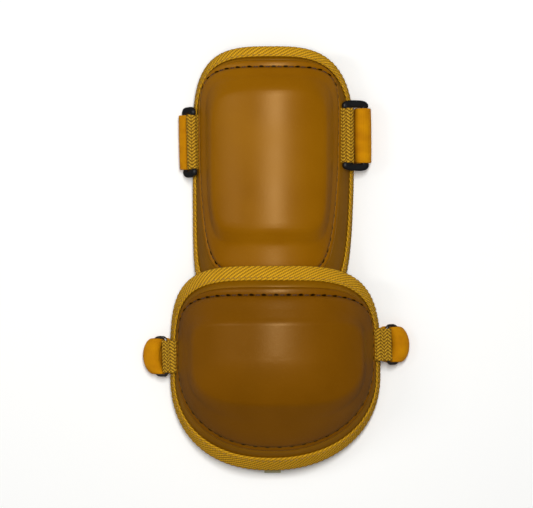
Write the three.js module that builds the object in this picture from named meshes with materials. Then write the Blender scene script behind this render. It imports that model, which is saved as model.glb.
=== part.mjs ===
// Baseball batter's elbow guard: a moulded arm plate and a moulded elbow cup, each on its own
// tape-bound pad, with an elastic strap through a pair of rings on each. It lies face up.
// Millimetres, +Z up. +Y runs from the elbow cup to the arm plate's free end, +X is the right
// side seen from above. The origin is in the middle of the underside of the whole guard.
import * as THREE from 'three';

// Arm plate
const ARM_CENTRE_X = -1.5;
const ARM_HALF_WIDTH = 47.4;
const ARM_MID_Y = 64.8; // the line where the plate is widest
const ARM_UP = 61.2; // from that line to the free end
const ARM_DOWN = 90.8; // from that line to the end that is hidden under the cup
const ARM_CROWN = 36; // height of the pad's outer face along the middle
const ARM_CURL = 6; // how far the free end drops

// Elbow cup
const CUP_CENTRE_X = 0;
const CUP_HALF_WIDTH = 62.6;
const CUP_MID_Y = -70.2;
const CUP_UP = 65.4;
const CUP_DOWN = 55.8;
const CUP_CROWN = 50;
const CUP_TOE = 13; // height of the pad's outer face at the cup's lower end
const CUP_LEAN = -3.5; // how far the cup's lower end lies to the side of its middle

// What both pads share
const EDGE_HEIGHT = 2.9; // outer face above the floor along the sides
const STRAP_LIFT = 4.6; // how far a side rides up over a strap
const LIFT_REACH = 34;
const ARM_SLOPE = { left: 86, right: 74 }; // degrees, how steeply the arch meets each side
const CUP_SLOPE = { left: 75, right: 75 };
const EDGE_THICK = 3.4;
const PAD_THICK = 8;
const CUP_PAD_THICK = 9;
const GAP = 0.3; // between pieces that touch
const TAPE_THICK = 0.9;

// Moulded shells, heights above the pad
const ARM_RELIEF = 7.4;
const ARM_SHELF = 3; // the low part below the raised panel
const CUP_RELIEF = 9;
const FLANGE_THICK = 1.6;
const SEAM_THICK = 1.3;

// Webbing, straps and rings
const ARM_WEB_WIDTH = 33;
const CUP_WEB_WIDTH = 19.4;
const WEB_THICK = 1.3;
const ARM_STRAP_WIDTH = 33;
const CUP_STRAP_WIDTH = 20;
const STRAP_THICK = 1.5;
const STRAP_FOLD = 34; // length of the end that is folded back under the guard
const LOOP_BAR = 3.4; // diameter of a plastic ring's bar
const LOOP_SPAN = 11; // between the plastic ring's two bars
const LOOP_PLAY = 1.6; // how much longer the ring's inside is than its webbing is wide
const WIRE = 1.9; // diameter of a D-ring's wire
const DEE_PLAY = 0.8;
const DEE_LEG = 4.4; // straight part between the D-ring's bar and its arc
const DEE_BOW = 7; // depth of that arc
const GATHER = 0.2; // share of its width that the narrow strap loses inside a D-ring
const ARC_SLACK = 1.1; // how much looser the strap lies on the arc than on a straight bar
const GATHER_FROM = 14; // how far inside the D-ring's arc the strap starts to draw in
const GATHER_TO = 5;
const STRAP_TURN = 2.2; // radius of a strap's bends at the floor
const STRAP_LEAN = 4; // how far its outer strand leans in on the way down

// Where the four rings lie: the inner bar's centre, the tilt and the twist seen from above. Each bar
// lies a little outside or inside its plate's widest place, as the webbing lets it.
const FITTINGS = {
  arm_left: { barX: ARM_CENTRE_X - ARM_HALF_WIDTH - 1.5, barZ: 15.6, tilt: 68, y: 70.6, twist: 1.2 },
  arm_right: { barX: ARM_CENTRE_X + ARM_HALF_WIDTH - 2.3, barZ: 17.4, tilt: 30, y: 74.5, twist: 0.5 },
  elbow_left: { barX: CUP_CENTRE_X - CUP_HALF_WIDTH - 3.6, barZ: 10.8, tilt: 32, y: -58.6, twist: 2 },
  elbow_right: { barX: CUP_CENTRE_X + CUP_HALF_WIDTH + 4.7, barZ: 12.6, tilt: 40, y: -51.4, twist: 2 },
};

// Hidden strip that joins the two halves, and the tab under the lower hem
const HINGE_WIDTH = 22;
const HINGE_THICK = 1.6;
const HINGE_UNDER_ARM = 5; // how far it reaches under the arm pad
const HINGE_RISE = 14; // length in which it climbs to the cup's lining
const HINGE_UNDER_CUP = 12;
const TAB_WIDTH = 10;
const TAB_THICK = 0.9;
const TAB_HIDDEN = 7; // length under the hem
const TAB_SHOWN = 7.2;

// How finely the round forms are cut
const STATIONS = 44;
const WIRE_SIDES = 6;

// Plan of each ring round a plate. left and right are shares of the half width, top and bottom of
// the plate's two lengths from its mid line, mid shifts the ring's own mid line by a share of the
// upper length. tl, tr and low are the squareness of the corners, narrow* how much a side closes in.
// thick is a share of the pad's thickness, rise a share of the shell's relief above the pad.
const RING_COLUMNS = [
  'left', 'right', 'top', 'bottom', 'mid', 'tl', 'tr', 'low', 'narrowLeft', 'narrowRight', 'thick', 'rise',
];
function ringTable(rows) {
  return Object.entries(rows).map(([name, values]) => (
    { name, ...Object.fromEntries(RING_COLUMNS.map((column, i) => [column, values[i]])) }
  ));
}
const ARM_RINGS = ringTable({
  edge: [1, 1, 1, 1, 0, 3.7, 3.1, 7, 0, 0.1, 0.43, 0],
  lip: [0.976, 0.966, 0.912, 0.94, 0, 3.8, 3.2, 7, 0.01, 0.11, 0.46, 0],
  flange: [0.915, 0.828, 0.875, 0.819, 0, 4, 4, 8, 0.13, 0.17, 0.5, 0],
  seam: [0.89, 0.796, 0.81, 0.797, 0, 4.2, 4.2, 8, 0.13, 0.19, 0.6, 0.18],
  shoulder: [0.86, 0.772, 0.785, 0.772, 0, 4.2, 4.2, 8, 0.13, 0.19, 0.75, 0.38],
  shelf: [0.82, 0.72, 0.73, 0.6, 0, 5.2, 5.2, 9, 0.1, 0.12, 1, 0.5],
  panel: [0.72, 0.6, 0.575, 0.515, 0, 7, 7, 9, 0.03, 0.04, 1, 0.97],
  field: [0.5, 0.42, 0.4, 0.36, 0, 3, 3, 5, 0, 0, 1, 1],
  middle: [0.26, 0.22, 0.2, 0.18, 0, 2.6, 2.6, 3, 0, 0, 1, 1],
  core: [0.05, 0.04, 0.04, 0.04, 0, 2, 2, 2, 0, 0, 1, 1],
});
const CUP_RINGS = ringTable({
  edge: [1, 0.987, 1, 1, 0, 4.2, 3.7, 2.2, 0, 0, 0.38, 0],
  lip: [0.968, 0.958, 0.881, 0.871, 0, 4.2, 3.8, 2.2, 0, 0, 0.41, 0],
  flange: [0.938, 0.932, 0.818, 0.785, 0.1, 4.6, 4.6, 2.2, 0, 0, 0.46, 0],
  seam: [0.92, 0.915, 0.752, 0.735, 0.12, 5, 5, 2.2, 0, 0, 0.58, 0.145],
  shoulder: [0.885, 0.88, 0.727, 0.705, 0.13, 5, 5, 2.2, 0, 0, 0.72, 0.36],
  bevel: [0.79, 0.79, 0.615, 0.55, 0.15, 5, 5, 2.2, 0, 0, 1, 0.72],
  panel: [0.71, 0.73, 0.495, 0.344, 0.18, 6, 6, 2.1, 0, 0, 1, 0.98],
  field: [0.48, 0.5, 0.38, 0.12, 0.18, 3.4, 3.4, 2.1, 0, 0, 1, 1],
  middle: [0.24, 0.25, 0.28, -0.06, 0.18, 2.4, 2.4, 2.1, 0, 0, 1, 1],
  core: [0.04, 0.04, 0.2, -0.19, 0.18, 2, 2, 2, 0, 0, 1, 1],
});
const FIRST_SHELL_RING = 2; // the shells start at their flange

// Height along the arm plate's middle: level, then curling down to the free end.
function armCrownAt(y) {
  const curlStart = ARM_MID_Y + 0.5 * ARM_UP;
  const share = Math.max(0, (y - curlStart) / (0.5 * ARM_UP));
  return ARM_CROWN - ARM_CURL * share ** 2;
}

// Height of the cup's upper edge: it lies on the arm plate's shelf.
const CUP_BROW = ARM_CROWN + ARM_SHELF + 3 * GAP + TAPE_THICK + EDGE_THICK;

// Height along the cup's middle: up from the brow, level, then down to the toe.
function cupCrownAt(y) {
  const browStart = CUP_MID_Y + 0.72 * CUP_UP;
  const brow = Math.max(0, (y - browStart) / (0.28 * CUP_UP));
  const toeStart = CUP_MID_Y + 0.2 * CUP_UP;
  const toe = Math.max(0, (toeStart - y) / (0.2 * CUP_UP + CUP_DOWN));
  return CUP_CROWN - (CUP_CROWN - CUP_BROW) * brow ** 2 - (CUP_CROWN - CUP_TOE) * toe ** 1.7;
}

const ARM = {
  x: ARM_CENTRE_X,
  halfWidth: ARM_HALF_WIDTH,
  y: ARM_MID_Y,
  up: ARM_UP,
  down: ARM_DOWN,
  lean: 0,
  crownAt: armCrownAt,
  slope: ARM_SLOPE,
  thick: PAD_THICK,
  relief: ARM_RELIEF,
  rings: ARM_RINGS,
  strapY: { left: FITTINGS.arm_left.y, right: FITTINGS.arm_right.y },
};
const CUP = {
  x: CUP_CENTRE_X,
  halfWidth: CUP_HALF_WIDTH,
  y: CUP_MID_Y,
  up: CUP_UP,
  down: CUP_DOWN,
  lean: CUP_LEAN,
  crownAt: cupCrownAt,
  slope: CUP_SLOPE,
  thick: CUP_PAD_THICK,
  relief: CUP_RELIEF,
  rings: CUP_RINGS,
  strapY: { left: FITTINGS.elbow_left.y, right: FITTINGS.elbow_right.y },
};

// Share of the rise from a plate's side (0) to its middle (1), for a point at u half widths:
// an arc that meets the side at a slope in degrees.
function archShare(u, slope) {
  const angle = THREE.MathUtils.degToRad(slope);
  const foot = Math.cos(angle);
  return (Math.sqrt(1 - (u * Math.sin(angle)) ** 2) - foot) / (1 - foot);
}

// One quadrant of a ring: a superellipse from its end (on the middle line) to its side, sampled
// at even steps along its length.
function quadrant(plate, row, side, end) {
  const upperSquare = side === 'left' ? row.tl : row.tr;
  const square = end === 'bottom' ? row.low : upperSquare;
  const reach = row[side] * plate.halfWidth;
  const midY = plate.y + row.mid * plate.up;
  const endY = end === 'top' ? plate.y + row.top * plate.up : plate.y - row.bottom * plate.down;
  const lowerNarrow = side === 'left' ? row.narrowLeft : row.narrowRight;
  const narrow = end === 'bottom' ? lowerNarrow : 0;
  const fine = 160;
  const dense = [];
  for (let i = 0; i <= fine; i++) {
    const angle = (Math.PI / 2) * (i / fine);
    const across = Math.sin(angle) ** (2 / square);
    const along = Math.cos(angle) ** (2 / square);
    const x = reach * across * (1 - narrow * along ** 2);
    dense.push(new THREE.Vector2(x, midY + (endY - midY) * along));
  }
  const line = new THREE.Path(dense).getSpacedPoints(STATIONS / 4);
  const slope = plate.slope[side];
  const sideShare = archShare(row[side], slope);
  const sideZ = EDGE_HEIGHT + (plate.crownAt(midY) - EDGE_HEIGHT) * sideShare;
  const endZ = plate.crownAt(endY);
  return line.map((p) => {
    const share = (archShare(p.x / plate.halfWidth, slope) - sideShare) / (1 - sideShare);
    const flat = sideZ + (endZ - sideZ) * Math.min(1, share);
    const low = 1 - (flat - EDGE_HEIGHT) / (plate.crownAt(plate.y) - EDGE_HEIGHT);
    const near = Math.exp(-(((p.y - plate.strapY[side]) / LIFT_REACH) ** 2));
    const lift = STRAP_LIFT * near * Math.max(0, low) ** 3;
    const lean = plate.lean * Math.max(0, (plate.y - p.y) / plate.down) ** 2;
    return new THREE.Vector3(plate.x + lean + (side === 'left' ? -p.x : p.x), p.y, flat + lift);
  });
}

// A whole ring on the pad's outer face, from its upper end round by the right.
function ring(plate, row) {
  const parts = [
    quadrant(plate, row, 'right', 'top'),
    quadrant(plate, row, 'right', 'bottom').reverse(),
    quadrant(plate, row, 'left', 'bottom'),
    quadrant(plate, row, 'left', 'top').reverse(),
  ];
  return parts.flatMap((part) => part.slice(0, -1));
}

// Outward normal at every point of a grid of rings, from the neighbouring points.
function gridNormals(grid) {
  return grid.map((row, k) => row.map((point, i) => {
    const around = new THREE.Vector3().subVectors(row[(i + 1) % row.length], row.at(i - 1));
    const outer = grid[Math.max(0, k - 1)][i];
    const inner = grid[Math.min(grid.length - 1, k + 1)][i];
    return around.cross(new THREE.Vector3().subVectors(outer, inner)).normalize();
  }));
}

// A copy of some rings, moved along their normals by heightAt(row index).
function raised(surface, first, last, heightAt) {
  const rows = [];
  for (let k = first; k <= last; k++) {
    const normals = surface.normals[k];
    rows.push(surface.grid[k].map((p, i) => p.clone().addScaledVector(normals[i], heightAt(k))));
  }
  return rows;
}

// A closed mesh over a list of sections, each a closed loop of as many points. The ends are
// closed by fans, or the last section joins the first.
function skin(sections, endless = false) {
  const count = sections[0].length;
  const points = sections.flat();
  const faces = [];
  const bands = endless ? sections.length : sections.length - 1;
  for (let k = 0; k < bands; k++) {
    for (let i = 0; i < count; i++) {
      const a = k * count + i;
      const b = k * count + ((i + 1) % count);
      const c = ((k + 1) % sections.length) * count + i;
      const d = ((k + 1) % sections.length) * count + ((i + 1) % count);
      faces.push([a, c, b], [b, c, d]);
    }
  }
  if (!endless) {
    for (const k of [0, sections.length - 1]) {
      const middle = new THREE.Vector3();
      sections[k].forEach((p) => middle.addScaledVector(p, 1 / count));
      const tip = points.push(middle) - 1;
      for (let i = 0; i < count; i++) {
        const pair = [k * count + i, k * count + ((i + 1) % count)];
        faces.push(k === 0 ? [tip, ...pair] : [tip, ...pair.reverse()]);
      }
    }
  }
  let volume = 0;
  for (const [a, b, c] of faces) volume += points[a].dot(points[b].clone().cross(points[c]));
  if (volume < 0) faces.forEach((face) => face.reverse());
  const geometry = new THREE.BufferGeometry().setFromPoints(points);
  geometry.setIndex(faces.flat());
  geometry.computeVertexNormals();
  return geometry;
}

function plateSurface(plate) {
  const grid = plate.rings.map((row) => ring(plate, row));
  return { grid, normals: gridNormals(grid) };
}

// The pad: outer face in from the edge to the core, then the lining side back out.
function pad(plate, surface) {
  const last = plate.rings.length - 1;
  const outer = raised(surface, 0, last, () => 0);
  const inner = raised(surface, 0, last, (k) => -plate.thick * plate.rings[k].thick);
  return skin([...outer.reverse(), ...inner]);
}

// The moulded shell: its underside follows the pad, its face stands up to the raised panel.
function shell(plate, surface) {
  const last = plate.rings.length - 1;
  const under = raised(surface, FIRST_SHELL_RING, last, () => GAP);
  const face = raised(surface, FIRST_SHELL_RING, last, (k) => {
    const { name, rise } = plate.rings[k];
    if (name === 'flange') return FLANGE_THICK;
    if (name === 'seam') return SEAM_THICK;
    return rise * plate.relief;
  });
  return skin([...under.reverse(), ...face]);
}

// The tape folded round a pad's edge: a C-shaped section carried round the edge ring.
function binding(plate, surface) {
  const [edge, lip] = surface.grid;
  const [edgeNormals, lipNormals] = surface.normals;
  const edgeThick = plate.thick * plate.rings[0].thick;
  const lipThick = plate.thick * plate.rings[1].thick;
  const outside = GAP + TAPE_THICK;
  return skin(edge.map((point, i) => {
    const normal = edgeNormals[i];
    const around = new THREE.Vector3().subVectors(edge[(i + 1) % edge.length], edge.at(i - 1));
    const out = new THREE.Vector3().crossVectors(around, normal).normalize();
    if (out.dot(new THREE.Vector3().subVectors(point, lip[i])) < 0) out.negate();
    const onEdge = (away, up) => point.clone().addScaledVector(out, away).addScaledVector(normal, up);
    const onLip = (up) => lip[i].clone().addScaledVector(lipNormals[i], up);
    return [
      onLip(GAP), onEdge(GAP, GAP), onEdge(GAP, -edgeThick - GAP), onLip(-lipThick - GAP),
      onLip(-lipThick - outside), onEdge(0.5 * GAP, -edgeThick - outside),
      onEdge(outside, -edgeThick), onEdge(outside, 0), onEdge(0.5 * GAP, outside), onLip(outside),
    ];
  }), true);
}

// A flat band along a path in the X-Z plane. Each of columns is one line of the band's width: a
// function that gives its { y, shift } at a point, shift being how far it moves along X.
// place(x, y) puts it in the frame.
function band(path, thick, columns, place) {
  const sections = path.map((point, i) => {
    const before = path[Math.max(0, i - 1)];
    const after = path[Math.min(path.length - 1, i + 1)];
    const along = new THREE.Vector2().subVectors(after, before).normalize();
    const corner = (column, side) => {
      const { y, shift } = column(point);
      const [placedX, placedY] = place(point.x - along.y * side * thick / 2 + shift, y);
      return new THREE.Vector3(placedX, placedY, point.y + along.x * side * thick / 2);
    };
    return [...columns.map((c) => corner(c, 1)), ...columns.map((c) => corner(c, -1)).reverse()];
  });
  return skin(sections);
}

function flatColumns(width) {
  return [-width / 2, width / 2].map((y) => () => ({ y, shift: 0 }));
}

// Centre of a ring's outer bar, which holds the strap, with X measured outwards from the middle.
function outerBar(fitting, span) {
  const tilt = THREE.MathUtils.degToRad(fitting.tilt);
  return new THREE.Vector2(
    Math.abs(fitting.barX) + span * Math.cos(tilt),
    fitting.barZ - span * Math.sin(tilt),
  );
}

// Turns a point about the fitting's inner bar, seen from above.
function twisted(fitting) {
  const twist = THREE.MathUtils.degToRad(fitting.twist);
  return (x, y) => [x - Math.tan(twist) * y, fitting.y + y];
}

// A tube of round section carried round a closed flat outline. outline holds points of the
// ring's own plane: x away from the inner bar, y along it.
function ringTube(fitting, outline, diameter) {
  const outward = Math.sign(fitting.barX);
  const tilt = THREE.MathUtils.degToRad(fitting.tilt);
  const place = twisted(fitting);
  const flat = new THREE.Vector3(Math.sin(tilt) * outward, 0, Math.cos(tilt));
  const set = (p) => {
    const [x, y] = place(fitting.barX + outward * p.x * Math.cos(tilt), p.y);
    return new THREE.Vector3(x, y, fitting.barZ - p.x * Math.sin(tilt));
  };
  const centre = outline.map(set);
  return skin(centre.map((point, i) => {
    const along = new THREE.Vector3().subVectors(centre[(i + 1) % centre.length], centre.at(i - 1));
    const side = new THREE.Vector3().crossVectors(flat, along).normalize();
    return Array.from({ length: WIRE_SIDES }, (_, j) => {
      const angle = 2 * Math.PI * (j + 0.5) / WIRE_SIDES;
      return point.clone()
        .addScaledVector(side, Math.cos(angle) * diameter / 2)
        .addScaledVector(flat, Math.sin(angle) * diameter / 2);
    });
  }), true);
}

// The plastic ring: a rectangle with round corners.
function loopOutline() {
  const half = (Math.max(ARM_WEB_WIDTH, ARM_STRAP_WIDTH) + LOOP_PLAY + LOOP_BAR) / 2;
  const corner = LOOP_BAR * 0.7;
  const shape = new THREE.Shape();
  shape.absarc(LOOP_SPAN - corner, half - corner, corner, 0, Math.PI / 2);
  shape.absarc(corner, half - corner, corner, Math.PI / 2, Math.PI);
  shape.absarc(corner, corner - half, corner, Math.PI, 1.5 * Math.PI);
  shape.absarc(LOOP_SPAN - corner, corner - half, corner, 1.5 * Math.PI, 2 * Math.PI);
  shape.closePath();
  return closedOutline(shape, 3);
}

// The D-ring: a straight bar, two short legs and a bowed arc.
const DEE_HALF = (Math.max(CUP_WEB_WIDTH, CUP_STRAP_WIDTH) + DEE_PLAY + WIRE) / 2;
function deeOutline() {
  const corner = WIRE;
  const shape = new THREE.Shape();
  shape.absellipse(DEE_LEG, 0, DEE_BOW, DEE_HALF, -Math.PI / 2, Math.PI / 2);
  shape.absarc(corner, DEE_HALF - corner, corner, Math.PI / 2, Math.PI);
  shape.absarc(corner, corner - DEE_HALF, corner, Math.PI, 1.5 * Math.PI);
  shape.closePath();
  return closedOutline(shape, 6);
}

function closedOutline(shape, divisions) {
  const points = shape.getPoints(divisions);
  return points.filter((p, i) => p.distanceTo(points[(i + 1) % points.length]) > 1e-3);
}

// Arc points round a bar, as seen along +Y, in even steps.
function wrap(centre, radius, from, to, steps) {
  return Array.from({ length: steps + 1 }, (_, i) => {
    const angle = THREE.MathUtils.degToRad(from + (to - from) * (i / steps));
    return new THREE.Vector2(centre.x + radius * Math.cos(angle), centre.y + radius * Math.sin(angle));
  });
}

// Mirrors a path's X, so that a left side can be drawn as a right one.
function facing(outward, points) {
  return points.map((p) => new THREE.Vector2(outward * p.x, p.y));
}

// Webbing that comes out from beside the shell's flange, goes round the ring's inner bar and back.
function webbingLoop(surface, fitting, width, barDiameter, start) {
  const bar = new THREE.Vector2(Math.abs(fitting.barX), fitting.barZ);
  const quarter = surface.grid[0].length / 4;
  const side = fitting.barX > 0 ? quarter : 3 * quarter;
  const nearest = surface.grid[FIRST_SHELL_RING]
    .map((p, i) => ({ i, off: Math.abs(p.y - fitting.y) }))
    .filter(({ i }) => Math.abs(i - side) < quarter / 2)
    .reduce((best, p) => (p.off < best.off ? p : best)).i;
  const flat = (v) => new THREE.Vector2(Math.abs(v.x), v.z);
  const flange = flat(surface.grid[FIRST_SHELL_RING][nearest]);
  const outward = flat(surface.grid[FIRST_SHELL_RING - 1][nearest]).sub(flange).normalize();
  const away = new THREE.Vector2(-outward.y, outward.x);
  const strand = (WEB_THICK + GAP) / 2;
  const anchor = flange.addScaledVector(outward, start.clear).addScaledVector(away, start.lift);
  const run = bar.clone().sub(anchor);
  const lean = THREE.MathUtils.radToDeg(run.angle());
  const radius = barDiameter / 2 + GAP + WEB_THICK / 2;
  const open = THREE.MathUtils.radToDeg(Math.asin(Math.min(1, (radius - strand) / run.length())));
  const across = new THREE.Vector2(-run.y, run.x).normalize();
  const path = [
    anchor.clone().addScaledVector(across, strand),
    ...wrap(bar, radius, lean + 90 + open, lean - 90 - open, 10),
    anchor.clone().addScaledVector(across, -strand),
  ];
  const placed = facing(Math.sign(fitting.barX), path);
  return band(placed, WEB_THICK, flatColumns(width), twisted(fitting));
}

// Where a webbing starts: clear of the flange, and lifted off the pad or off the tape on it.
const ON_PAD = { clear: 5 * GAP, lift: WEB_THICK + 2 * GAP };
const ON_TAPE = { clear: 4.4 * GAP, lift: WEB_THICK + TAPE_THICK + 4 * GAP };

// How far the D-ring's arc falls back from its tip, at y along the bar.
function arcFall(y) {
  return DEE_BOW * (1 - Math.sqrt(1 - (y / DEE_HALF) ** 2));
}

// A strap's end on one side: down from the ring's outer bar to the floor and in under the guard,
// first the folded-back end, then the strand that crosses to the other side.
function strapEnd(bar, barDiameter, foot) {
  const radius = barDiameter / 2 + GAP + STRAP_THICK / 2;
  const floor = STRAP_THICK / 2;
  const second = floor + STRAP_THICK + GAP;
  const slotX = bar.x - radius;
  const inward = new THREE.Path();
  inward.moveTo(foot, second);
  inward.lineTo(slotX - STRAP_TURN, second);
  inward.quadraticCurveTo(slotX, second, slotX, second + STRAP_TURN);
  inward.lineTo(slotX, bar.y);
  const lean = Math.atan2(STRAP_LEAN, bar.y - floor);
  const loop = wrap(bar, radius, 180, -THREE.MathUtils.radToDeg(lean), 9);
  const leaving = loop.at(-1);
  const landing = leaving.x - (leaving.y - floor) * Math.tan(lean);
  const back = new THREE.Path();
  back.moveTo(leaving.x, leaving.y);
  back.quadraticCurveTo(landing, floor, Math.min(landing, slotX) - STRAP_TURN, floor);
  return [...inward.getPoints(4), ...loop.slice(1), ...back.getPoints(4).slice(1)];
}

// A whole strap: one end folded round the left ring, along the floor, and round the right ring.
function strap(left, right, span, barDiameter, width, onArc) {
  const leftBar = outerBar(left, span);
  const rightBar = outerBar(right, span);
  const leftEnd = facing(-1, strapEnd(leftBar, barDiameter, leftBar.x - STRAP_FOLD));
  const rightEnd = strapEnd(rightBar, barDiameter, rightBar.x - STRAP_FOLD).reverse();
  const crossing = new THREE.LineCurve(leftEnd.at(-1), rightEnd[0]).getPoints(3).slice(1, -1);
  const path = [...leftEnd, ...crossing, ...rightEnd];
  const slope = (right.y - left.y) / (right.barX - left.barX);
  const place = (x, y) => {
    const share = THREE.MathUtils.clamp((x - left.barX) / (right.barX - left.barX), 0, 1);
    const twist = THREE.MathUtils.degToRad(THREE.MathUtils.lerp(left.twist, right.twist, share));
    const alongX = THREE.MathUtils.clamp(x, left.barX, right.barX);
    return [x - Math.tan(twist) * y, left.y + slope * (alongX - left.barX) + y];
  };
  const rows = onArc ? [-1, -0.8, -0.45, 0, 0.45, 0.8, 1] : [-1, 1];
  const columns = rows.map((row) => (point) => {
    const bar = point.x > 0 ? rightBar : leftBar;
    if (!onArc) return { y: row * width / 2, shift: 0 };
    const near = THREE.MathUtils.smoothstep(Math.abs(point.x), bar.x - GATHER_FROM, bar.x - GATHER_TO);
    const y = row * width / 2 * (1 - GATHER * near);
    return { y, shift: -Math.sign(point.x) * arcFall(y) * near };
  });
  return band(path, STRAP_THICK, columns, place);
}

// How far a plate's arch falls from its middle to the edge of the hinge strip.
function sag(plate) {
  const reach = (HINGE_WIDTH / 2 + Math.abs(plate.x)) / plate.halfWidth;
  const share = Math.min(archShare(reach, plate.slope.left), archShare(reach, plate.slope.right));
  return (plate.crownAt(plate.y) - EDGE_HEIGHT) * (1 - share);
}

// The strip that joins the two halves: from under the arm pad's hidden end up to the cup's lining.
function hinge() {
  const armEnd = ARM_MID_Y - ARM_DOWN;
  const armUnder = ARM_CROWN - ARM_RINGS[1].thick * PAD_THICK - GAP - TAPE_THICK;
  const low = armUnder - sag(ARM) - 1.5 * GAP - HINGE_THICK / 2;
  const high = CUP_CROWN - CUP_PAD_THICK - sag(CUP) - 1.5 * GAP - HINGE_THICK / 2;
  const climbed = armEnd - HINGE_RISE;
  const path = new THREE.Path();
  path.moveTo(armEnd + HINGE_UNDER_ARM, low);
  path.lineTo(armEnd, low);
  path.bezierCurveTo(armEnd - 0.65 * HINGE_RISE, low, climbed + 0.65 * HINGE_RISE, high, climbed, high);
  path.lineTo(climbed - HINGE_UNDER_CUP, high);
  const sections = path.getPoints(8).map((point, i, all) => {
    const before = all[Math.max(0, i - 1)];
    const after = all[Math.min(all.length - 1, i + 1)];
    const along = new THREE.Vector2().subVectors(after, before).normalize();
    const corner = (x, side) => new THREE.Vector3(
      x, point.x - along.y * side * HINGE_THICK / 2, point.y + along.x * side * HINGE_THICK / 2,
    );
    const half = HINGE_WIDTH / 2;
    return [corner(-half, 1), corner(half, 1), corner(half, -1), corner(-half, -1)];
  });
  return skin(sections);
}

// The short tab sewn under the cup's lower hem.
function hemTab(surface) {
  const toe = surface.grid[0].length / 2;
  const [edge, lip] = [surface.grid[0][toe], surface.grid[1][toe]];
  const out = new THREE.Vector3().subVectors(edge, lip).normalize();
  const normal = surface.normals[0][toe];
  const below = CUP_PAD_THICK * CUP_RINGS[1].thick + 2.7 * GAP + TAPE_THICK;
  const corner = (x, away, down) => edge.clone().addScaledVector(out, away)
    .addScaledVector(normal, -below - down).add(new THREE.Vector3(x, 0, 0));
  const half = TAB_WIDTH / 2;
  return skin([-TAB_HIDDEN, TAB_SHOWN].map((away) => [
    corner(-half, away, 0),
    corner(half, away, 0),
    corner(half, away, TAB_THICK),
    corner(-half, away, TAB_THICK),
  ]));
}

const leather = new THREE.MeshStandardMaterial({ color: 0x8a5a06, roughness: 0.45 });
const padLeather = new THREE.MeshStandardMaterial({ color: 0x6e4a08, roughness: 0.6 });
const tape = new THREE.MeshStandardMaterial({ color: 0xbd8a14, roughness: 0.85 });
const webbing = new THREE.MeshStandardMaterial({ color: 0xb8851a, roughness: 0.85 });
const elastic = new THREE.MeshStandardMaterial({ color: 0xc98a08, roughness: 0.8 });
const blackPlastic = new THREE.MeshStandardMaterial({ color: 0x161616, roughness: 0.4 });
const blackNickel = new THREE.MeshStandardMaterial({ color: 0x2a2624, roughness: 0.2, metalness: 1 });
const greyTape = new THREE.MeshStandardMaterial({ color: 0x80807a, roughness: 0.8 });

const armSurface = plateSurface(ARM);
const cupSurface = plateSurface(CUP);
const pieces = new THREE.Group();

function add(name, geometry, material) {
  const mesh = new THREE.Mesh(geometry, material);
  mesh.name = name;
  pieces.add(mesh);
}

add('arm_pad', pad(ARM, armSurface), padLeather);
add('arm_shell', shell(ARM, armSurface), leather);
add('arm_binding', binding(ARM, armSurface), tape);
add('elbow_pad', pad(CUP, cupSurface), padLeather);
add('elbow_shell', shell(CUP, cupSurface), leather);
add('elbow_binding', binding(CUP, cupSurface), tape);
for (const side of ['left', 'right']) {
  const armFitting = FITTINGS[`arm_${side}`];
  const cupFitting = FITTINGS[`elbow_${side}`];
  const armWeb = webbingLoop(armSurface, armFitting, ARM_WEB_WIDTH, LOOP_BAR, ON_PAD);
  const cupWeb = webbingLoop(cupSurface, cupFitting, CUP_WEB_WIDTH, WIRE, ON_TAPE);
  add(`arm_webbing_${side}`, armWeb, webbing);
  add(`arm_ring_${side}`, ringTube(armFitting, loopOutline(), LOOP_BAR), blackPlastic);
  add(`elbow_webbing_${side}`, cupWeb, webbing);
  add(`elbow_dring_${side}`, ringTube(cupFitting, deeOutline(), WIRE), blackNickel);
}
const { arm_left: armLeft, arm_right: armRight, elbow_left: cupLeft, elbow_right: cupRight } = FITTINGS;
const armStrap = strap(armLeft, armRight, LOOP_SPAN, LOOP_BAR, ARM_STRAP_WIDTH, false);
const looseWire = WIRE + 2 * ARC_SLACK;
const cupStrap = strap(cupLeft, cupRight, DEE_LEG + DEE_BOW, looseWire, CUP_STRAP_WIDTH, true);
add('arm_strap', armStrap, elastic);
add('elbow_strap', cupStrap, elastic);
add('hinge_strip', hinge(), padLeather);
add('hem_tab', hemTab(cupSurface), greyTape);

// Sets the guard on the floor, with the origin in the middle of its underside.
const bounds = new THREE.Box3().setFromObject(pieces);
const middle = bounds.getCenter(new THREE.Vector3());
pieces.position.set(-middle.x, -middle.y, -bounds.min.z);

const guard = new THREE.Group();
guard.add(pieces);
export default guard;
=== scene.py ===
"""Batter's elbow guard in golden brown leather, lying face up on its two straps.

Lengths in this file are millimetres in the CAD frame, and put() turns them to metres: +Z is up,
+Y runs from the elbow cup to the arm plate's free end, and +X is the right side seen from above.
"""
import math

import bpy
import numpy as np
from mathutils import Matrix, Vector


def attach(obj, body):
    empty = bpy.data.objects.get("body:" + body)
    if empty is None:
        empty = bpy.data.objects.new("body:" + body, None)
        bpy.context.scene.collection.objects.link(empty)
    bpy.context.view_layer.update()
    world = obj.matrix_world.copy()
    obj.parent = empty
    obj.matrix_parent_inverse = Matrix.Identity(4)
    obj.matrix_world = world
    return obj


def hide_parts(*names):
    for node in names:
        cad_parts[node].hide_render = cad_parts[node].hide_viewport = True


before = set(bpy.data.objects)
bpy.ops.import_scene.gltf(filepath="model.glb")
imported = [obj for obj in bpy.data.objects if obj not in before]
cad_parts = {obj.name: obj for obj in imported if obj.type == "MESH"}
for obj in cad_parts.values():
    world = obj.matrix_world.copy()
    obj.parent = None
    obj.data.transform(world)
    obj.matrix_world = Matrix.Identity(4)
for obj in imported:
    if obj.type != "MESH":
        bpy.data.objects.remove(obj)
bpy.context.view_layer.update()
MM = 0.001

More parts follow.
